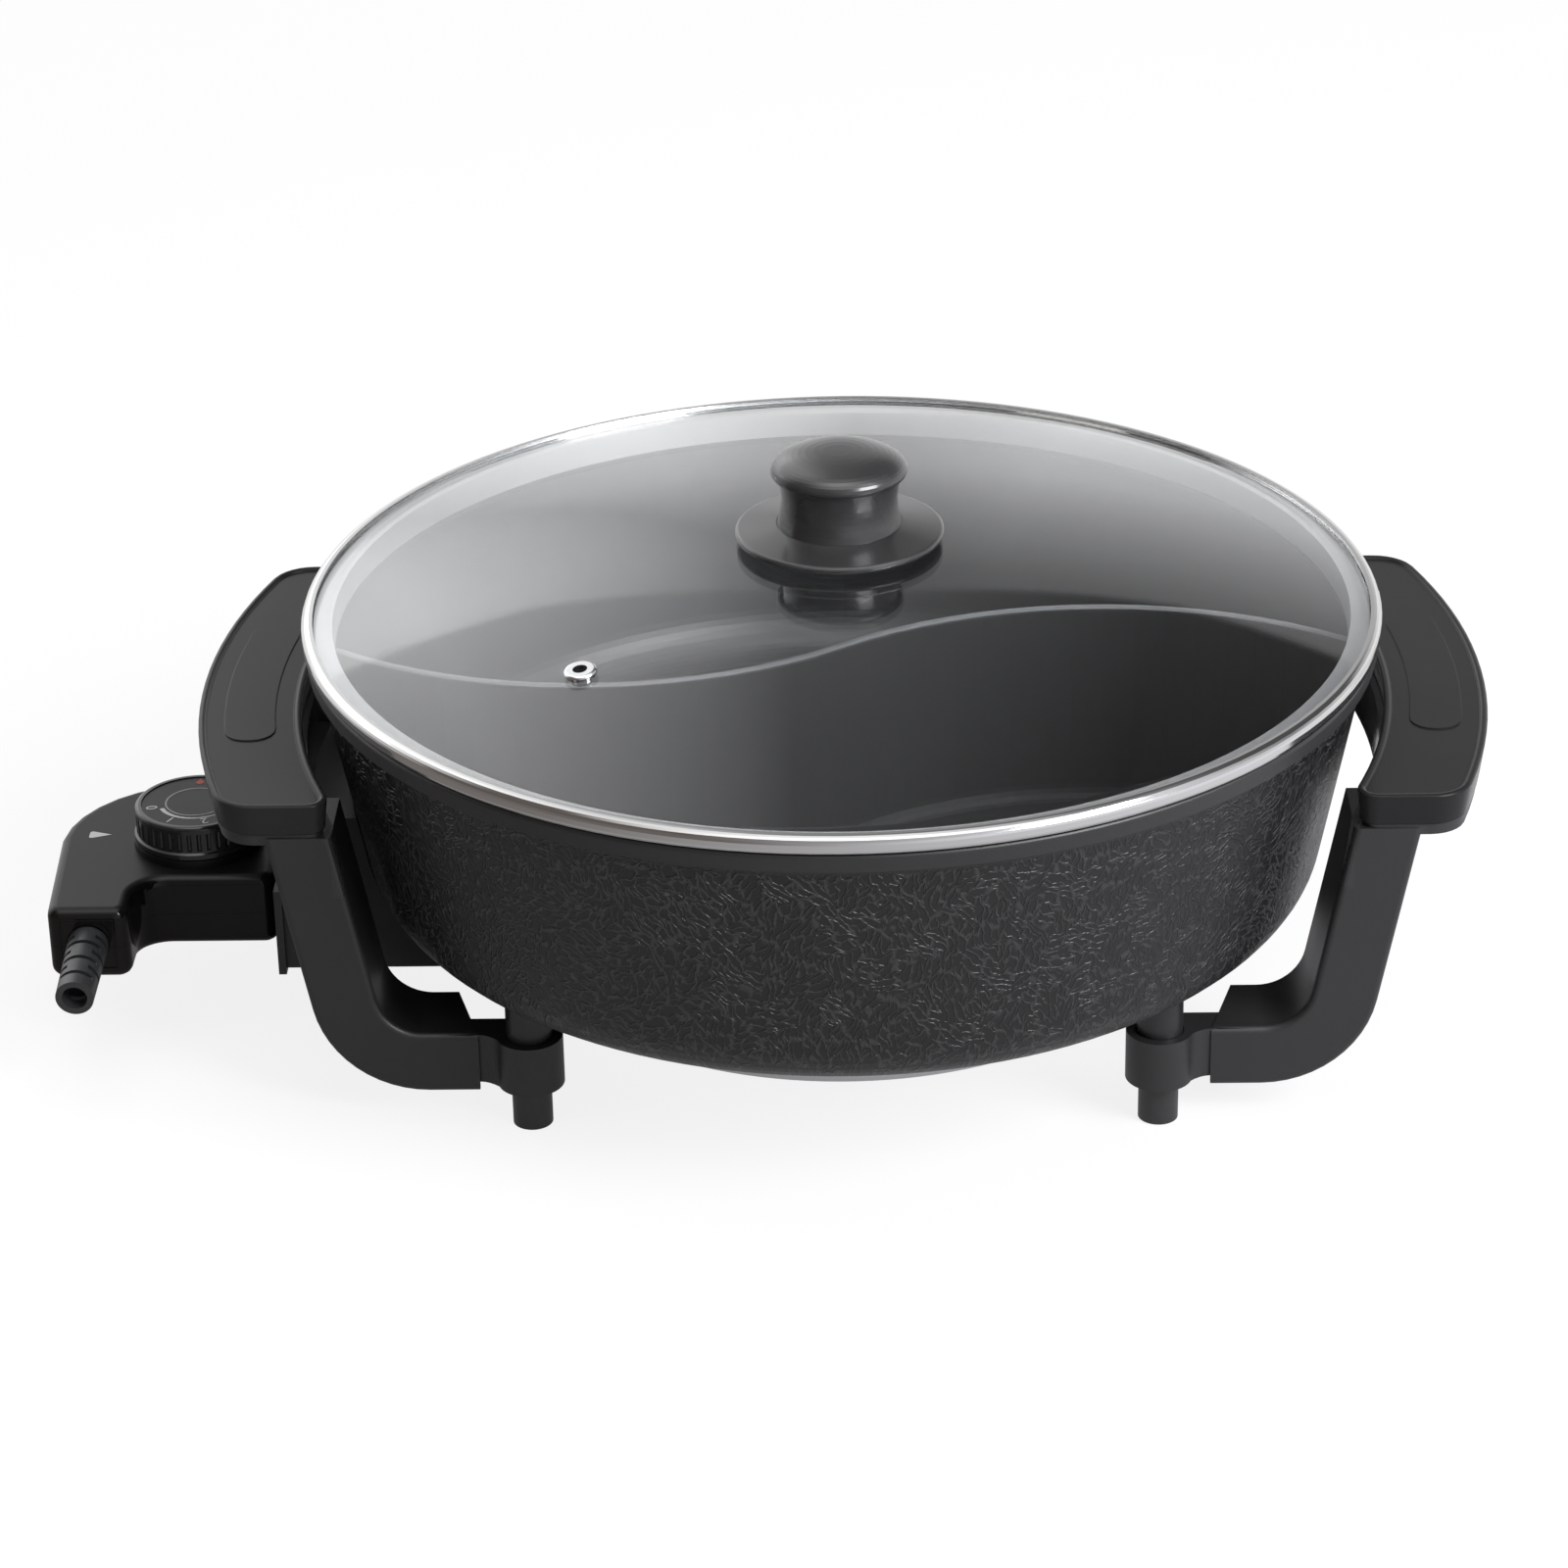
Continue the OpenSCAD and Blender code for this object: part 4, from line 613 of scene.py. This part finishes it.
def makeGlassDome():
    profile, centre, outer = domeProfile()
    radius, height = profile[0]
    bpy.ops.object.select_all(action="DESELECT")
    bpy.ops.mesh.primitive_circle_add(vertices=domeLook["sides"], radius=radius,
                                      fill_type="NOTHING", location=(0, 0, 0))
    piece = bpy.context.object
    piece.name = "lidDome"
    bpy.ops.object.mode_set(mode="EDIT")
    bpy.ops.mesh.select_all(action="SELECT")
    bpy.ops.transform.translate(value=(0, 0, height))
    for nextRadius, nextHeight in profile[1:]:
        bpy.ops.mesh.extrude_edges_move(TRANSFORM_OT_translate=dict(value=(0, 0, nextHeight - height)))
        grown = nextRadius / radius
        bpy.ops.transform.resize(value=(grown, grown, 1), center_override=(0, 0, nextHeight))
        radius, height = nextRadius, nextHeight
    pickVertices(piece, lambda co: co.xy.length < domeLook["hole"] * domeLook["slack"])
    bpy.ops.mesh.bridge_edge_loops()
    bpy.ops.mesh.select_all(action="SELECT")
    bpy.ops.mesh.normals_make_consistent(inside=False)
    bpy.ops.object.mode_set(mode="OBJECT")
    # steam hole, square to the dome
    x, y = domeLook["vent"]
    out = Vector((x, y, math.sqrt(outer * outer - x * x - y * y)))
    bpy.ops.mesh.primitive_cylinder_add(
        vertices=domeLook["ventSides"], radius=domeLook["ventHole"], depth=domeLook["ventDepth"],
        location=(x, y, centre + out.z), rotation=out.to_track_quat("Z", "Y").to_euler())
    drill = bpy.context.object
    bpy.ops.object.select_all(action="DESELECT")
    piece.select_set(True)
    bpy.context.view_layer.objects.active = piece
    bored = piece.modifiers.new("steamHole", "BOOLEAN")
    bored.operation = "DIFFERENCE"
    bored.object = drill
    bpy.ops.object.modifier_apply(modifier=bored.name)
    bpy.data.objects.remove(drill)
    bpy.ops.object.shade_smooth_by_angle(angle=shellLook["sharp"])
    finishPiece(piece, "lid", lidGlass)
    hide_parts("lid_glass")


makeGlassDome()
print("glass dome drawn")

# printed marks on the dial: numbers, a ring, an arc that grows thinner, a red mark
dialLook = dict(axis=(-0.185, 0.001), ink=0.00006,
                start=196.0, step=46.0, numbers="012345", numberRadius=0.0126, numberSize=0.0046,
                ringRadius=0.0089, ringWidth=0.0005, ringSides=96,
                arcRadius=0.0108, arcWidth=0.0013, arcSides=120, arcFrom=204.0, arcTo=330.0,
                arcSlack=0.001, arcStops=12, arcTaper=0.85,
                redAngle=92.0, redRadius=0.0013, redSides=12, redFrom=0.0002, redTip=(1.5, 0.55, 1))
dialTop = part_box("dial_plate")[1].z


# place of a mark on the circle of numbers
def dialPlace(angle):
    x, y = dialLook["axis"]
    reach = dialLook["numberRadius"]
    return x + reach * math.cos(angle), y + reach * math.sin(angle), dialTop


# a disc of ink is given its thickness, its place and its outward faces
def liftInk(piece, place, turn=0.0):
    bpy.ops.mesh.select_all(action="SELECT")
    bpy.ops.mesh.extrude_region_move(TRANSFORM_OT_translate=dict(value=(0, 0, dialLook["ink"])))
    bpy.ops.mesh.select_all(action="SELECT")
    bpy.ops.mesh.normals_make_consistent(inside=False)
    bpy.ops.object.mode_set(mode="OBJECT")
    piece.rotation_euler = (0, 0, turn)
    piece.location = place
    bpy.ops.object.transform_apply(location=True, rotation=True, scale=True)


def makeNumbers():
    made = []
    for count, figure in enumerate(dialLook["numbers"]):
        bpy.ops.object.select_all(action="DESELECT")
        bpy.ops.object.text_add(location=(0, 0, 0))
        words = bpy.context.object
        words.data.body = figure
        words.data.size = dialLook["numberSize"]
        words.data.align_x = "CENTER"
        words.data.align_y = "CENTER"
        words.data.extrude = dialLook["ink"]
        bpy.ops.object.convert(target="MESH")
        piece = bpy.context.object
        angle = math.radians(dialLook["start"] + count * dialLook["step"])
        piece.rotation_euler = (0, 0, angle - math.pi / 2)
        piece.location = dialPlace(angle)
        bpy.ops.object.transform_apply(location=True, rotation=True, scale=True)
        made.append(piece)
    bpy.ops.object.select_all(action="DESELECT")
    for piece in made:
        piece.select_set(True)
    bpy.context.view_layer.objects.active = made[0]
    bpy.ops.object.join()
    made[0].name = "dialNumbers"
    finishPiece(made[0], "dial", printWhite)


def ringOfInk(name, radius, width, vertices):
    bpy.ops.object.select_all(action="DESELECT")
    bpy.ops.mesh.primitive_circle_add(vertices=vertices, radius=radius, fill_type="NGON", location=(0, 0, 0))
    piece = bpy.context.object
    piece.name = name
    bpy.ops.object.mode_set(mode="EDIT")
    bpy.ops.mesh.select_all(action="SELECT")
    bpy.ops.mesh.inset(thickness=width)
    bpy.ops.mesh.delete(type="FACE")
    return piece


def makeDialRing():
    piece = ringOfInk("dialRing", dialLook["ringRadius"], dialLook["ringWidth"], dialLook["ringSides"])
    liftInk(piece, (*dialLook["axis"], dialTop))
    finishPiece(piece, "dial", printGrey)


def makeDialArc():
    radius, width, stops = dialLook["arcRadius"], dialLook["arcWidth"], dialLook["arcStops"]
    piece = ringOfInk("dialArc", radius, width, dialLook["arcSides"])
    first, last = math.radians(dialLook["arcFrom"]), math.radians(dialLook["arcTo"])

    def along(co):
        return (math.atan2(co.y, co.x) % (2 * math.pi) - first) / (last - first)

    def within(co, low, high):
        return co.length < radius - width / 2 and low <= along(co) < high

    pickVertices(piece, lambda co: not -dialLook["arcSlack"] <= along(co) <= 1 + dialLook["arcSlack"])
    bpy.ops.mesh.delete(type="VERT")
    for stop in range(stops):
        atEnd = stop == stops - 1
        pickVertices(piece, lambda co: within(co, stop / stops, (stop + 1) / stops + atEnd))
        grown = 1 + width / (radius - width) * dialLook["arcTaper"] * (stop + 0.5) / stops
        bpy.ops.transform.resize(value=(grown, grown, 1), center_override=(0, 0, 0))
    liftInk(piece, (*dialLook["axis"], dialTop))
    finishPiece(piece, "dial", printWhite)


def makeRedMark():
    bpy.ops.object.select_all(action="DESELECT")
    bpy.ops.mesh.primitive_circle_add(vertices=dialLook["redSides"], radius=dialLook["redRadius"],
                                      fill_type="NGON", location=(0, 0, 0))
    piece = bpy.context.object
    piece.name = "dialRedMark"
    bpy.ops.object.mode_set(mode="EDIT")
    pickVertices(piece, lambda co: co.x > dialLook["redFrom"])
    bpy.ops.transform.resize(value=dialLook["redTip"], center_override=(0, 0, 0))
    angle = math.radians(dialLook["redAngle"])
    liftInk(piece, dialPlace(angle), angle)
    finishPiece(piece, "dial", printRed)


makeNumbers()
makeDialRing()
makeDialArc()
makeRedMark()
print("dial printed")

# white pointer on the housing, a wedge aimed at the dial
pointerLook = dict(place=(-0.2150, 0.0047), length=0.0064, width=0.0046, corner=0.0011, steps=6, sink=0.0024)


def makePointer():
    bpy.ops.object.select_all(action="DESELECT")
    bpy.ops.mesh.primitive_circle_add(vertices=3, radius=1.0, fill_type="NGON",
                                      location=(0, 0, 0), rotation=(0, 0, -math.pi / 2))
    bpy.ops.object.transform_apply(location=True, rotation=True, scale=True)
    piece = bpy.context.object
    piece.name = "housingPointer"
    bpy.ops.object.mode_set(mode="EDIT")
    bpy.ops.mesh.select_all(action="SELECT")
    # the plain triangle is 1.5 long and the root of 3 wide
    wedge = (pointerLook["length"] / 1.5, pointerLook["width"] / math.sqrt(3), 1)
    bpy.ops.transform.resize(value=wedge, center_override=(0, 0, 0))
    pickVertices(piece, lambda co: co.x < 0)
    bpy.ops.mesh.bevel(offset=pointerLook["corner"], segments=pointerLook["steps"], affect="VERTICES")
    liftInk(piece, (*pointerLook["place"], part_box("controller_top")[1].z - pointerLook["sink"]))
    finishPiece(piece, "controller", printWhite)


makePointer()
print("pointer printed")

# stage: pale floor, soft lamps, white surroundings
stageLook = dict(floor=(0.93, 0.93, 0.93), darker=0.985, rough=0.9, specular=0.1, pits=60.0, drift=3.0,
                 size=8.0, level=-0.0004, glow=0.85, fade=(0.6, 1.6), across=(-0.30, 0.45), depth=(0.0, 0.25),
                 mirroredLeft=(0.075, 0.052, 0.040), mirroredRight=(0.98, 0.99, 1.05),
                 mirroredBack=(0.95, 0.95, 0.95))
lampLook = [
    dict(name="keyRight", place=(1.3, -1.0, 1.25), aim=(0.05, -0.05, 0.06),
         size=(1.0, 1.0), power=58.0, colour=(0.97, 0.98, 1.0), mirrored=True),
    dict(name="fillLeft", place=(-1.5, -1.0, 0.9), aim=(-0.05, 0.0, 0.05),
         size=(0.9, 0.9), power=4.0, colour=(1.0, 0.95, 0.9), mirrored=False),
    dict(name="overhead", place=(0.0, 0.2, 1.8), aim=(0.0, 0.0, 0.0),
         size=(1.6, 1.2), power=16.0, colour=(1.0, 1.0, 1.0), mirrored=False),
]


# masks for light: seen by eye or straight through glass, and seen in a reflection
def lightPaths(tree):
    path = put(tree, "ShaderNodeLightPath")
    plain = calc(tree, "LESS_THAN", path.outputs["Glossy Depth"], 0.5)
    passed = product(tree, path.outputs["Is Transmission Ray"], plain)
    thrown = product(tree, path.outputs["Is Transmission Ray"], calc(tree, "SUBTRACT", 1.0, plain))
    straight = calc(tree, "MAXIMUM", path.outputs["Is Camera Ray"], passed)
    bounced = calc(tree, "MAXIMUM", path.outputs["Is Glossy Ray"], thrown)
    return straight, bounced


def makeFloor():
    bpy.ops.object.select_all(action="DESELECT")
    bpy.ops.mesh.primitive_plane_add(size=stageLook["size"], location=(0, 0, stageLook["level"]))
    floor = bpy.context.object
    floor.name = "paleFloor"
    material, tree, shader, coords = startMaterial("paleFloor")
    grain = useGroup(tree, mouldGrain, coords, Pits=stageLook["pits"], Drift=stageLook["drift"])
    light = stageLook["floor"]
    colour = blendColour(tree, grain.outputs["Gloss"], tuple(c * stageLook["darker"] for c in light), light)
    tree.links.new(colour, shader.inputs["Base Color"])
    shader.inputs["Roughness"].default_value = stageLook["rough"]
    shader.inputs["Specular IOR Level"].default_value = stageLook["specular"]
    shine = put(tree, "ShaderNodeEmission", Strength=1.0)
    # painted reflection: in reflections the floor glows brownish dark at the left and near white at the right
    # and behind
    radius, point = fromAxis(tree, coords)
    across = rangeOf(tree, point["X"], *stageLook["across"], 0.0, 1.0)
    near = blendColour(tree, across, stageLook["mirroredLeft"], stageLook["mirroredRight"])
    depth = rangeOf(tree, point["Y"], *stageLook["depth"], 0.0, 1.0)
    mirrored = blendColour(tree, depth, near, stageLook["mirroredBack"])
    straight, bounced = lightPaths(tree)
    tint = blendColour(tree, bounced, (1.0, 1.0, 1.0), mirrored)
    tree.links.new(tint, shine.inputs["Color"])
    mixer = put(tree, "ShaderNodeMixShader")
    # the far floor runs into the white
    glow = rangeOf(tree, radius, *stageLook["fade"], stageLook["glow"], 1.0)
    tree.links.new(product(tree, calc(tree, "MAXIMUM", straight, bounced), glow), mixer.inputs[0])
    tree.links.new(shader.outputs[0], mixer.inputs[1])
    tree.links.new(shine.outputs[0], mixer.inputs[2])
    tree.links.new(mixer.outputs[0], tree.nodes["Material Output"].inputs["Surface"])
    floor.data.materials.append(material)


def makeLamps():
    for look in lampLook:
        bpy.ops.object.light_add(type="AREA", location=look["place"])
        lamp = bpy.context.object
        lamp.name = look["name"]
        lamp.data.shape = "RECTANGLE"
        lamp.data.size, lamp.data.size_y = look["size"]
        lamp.data.energy = look["power"]
        lamp.data.color = look["colour"]
        lamp.visible_glossy = look["mirrored"]
        toward = Vector(look["aim"]) - Vector(look["place"])
        lamp.rotation_euler = toward.to_track_quat("-Z", "Y").to_euler()


# surroundings: white to the eye; in reflections a large soft screen low behind with a sharp upper edge,
# brightest at the left, and a panel overhead
worldLook = dict(ambient=0.26, edge=0.462, edgeRise=0.053, edgeSpan=0.2, edgeSoft=0.006,
                 high=(1.75, 0.35, 0.11), highAcross=(-0.26, -0.04, 0.2),
                 low=(1.15, 0.48), lowFrom=0.2, lowTo=0.46, dip=0.68, dipSpan=0.09,
                 left=2.5, leftFrom=-0.26, leftTo=0.0, leftFade=0.45, leftLow=0.1, leftHigh=0.42,
                 zenith=3.5, zenithBack=(-0.12, 0.26), zenithFront=(-0.75, -0.2), zenithSide=(0.1, 0.62),
                 tint=(0.985, 0.99, 1.0), frontAcross=(-0.5, 0.6), frontDepth=(0.0, 0.45),
                 frontLeft=(0.16, 0.14, 0.13), frontRight=(0.85, 0.86, 0.90))


def makeWorld():
    world = bpy.data.worlds.new("whiteStudio")
    bpy.context.scene.world = world
    world.use_nodes = True
    tree = world.node_tree
    background = tree.nodes["Background"]
    toward = put(tree, "ShaderNodeSeparateXYZ")
    tree.links.new(put(tree, "ShaderNodeTexCoord").outputs["Generated"], toward.inputs[0])
    x, y, z = toward.outputs
    aside = calc(tree, "ABSOLUTE", x)
    fromLeft, middle, toRight = worldLook["highAcross"]
    strong, mild, faint = worldLook["high"]
    above = calc(tree, "SUBTRACT", rangeOf(tree, x, fromLeft, middle, strong, mild),
                 rangeOf(tree, x, middle, toRight, 0.0, mild - faint))
    screen = product(tree, rangeOf(tree, z, worldLook["lowFrom"], worldLook["lowTo"], *worldLook["low"]),
                     rangeOf(tree, aside, 0.0, worldLook["dipSpan"], worldLook["dip"], 1.0))
    bright = rangeOf(tree, x, worldLook["leftFrom"], worldLook["leftTo"], worldLook["left"], 0.0)
    rising = rangeOf(tree, z, worldLook["leftLow"], worldLook["leftHigh"], worldLook["leftFade"], 1.0)
    below = calc(tree, "MAXIMUM", screen, product(tree, bright, rising))
    peak = worldLook["edge"] + worldLook["edgeRise"]
    edge = rangeOf(tree, aside, 0.0, worldLook["edgeSpan"], peak, worldLook["edge"])
    soft = worldLook["edgeSoft"]
    under = rangeOf(tree, calc(tree, "SUBTRACT", z, edge), -soft, soft, 1.0, 0.0)
    behind = put(tree, "ShaderNodeVectorMath", operation="SCALE")
    behind.inputs[0].default_value = worldLook["tint"]
    tree.links.new(blendValue(tree, under, above, below), behind.inputs["Scale"])
    across = rangeOf(tree, x, *worldLook["frontAcross"], 0.0, 1.0)
    before = blendColour(tree, across, worldLook["frontLeft"], worldLook["frontRight"])
    forward = rangeOf(tree, y, *worldLook["frontDepth"], 1.0, 0.0)
    mirrored = blendColour(tree, forward, behind.outputs[0], before)
    panel = product(tree, rangeOf(tree, y, *worldLook["zenithBack"], 1.0, 0.0),
                    rangeOf(tree, y, *worldLook["zenithFront"], 0.0, 1.0),
                    rangeOf(tree, aside, *worldLook["zenithSide"], 1.0, 0.0),
                    calc(tree, "GREATER_THAN", z, 0.0))
    mirrored = blendColour(tree, panel, mirrored, (worldLook["zenith"],) * 3)
    straight, bounced = lightPaths(tree)
    lit = blendColour(tree, bounced, (worldLook["ambient"],) * 3, mirrored)
    shown = blendColour(tree, straight, lit, (1.0, 1.0, 1.0))
    tree.links.new(shown, background.inputs["Color"])
    background.inputs["Strength"].default_value = 1.0


makeFloor()
makeLamps()
makeWorld()
bpy.context.scene.view_settings.view_transform = "Standard"
print("stage lit")
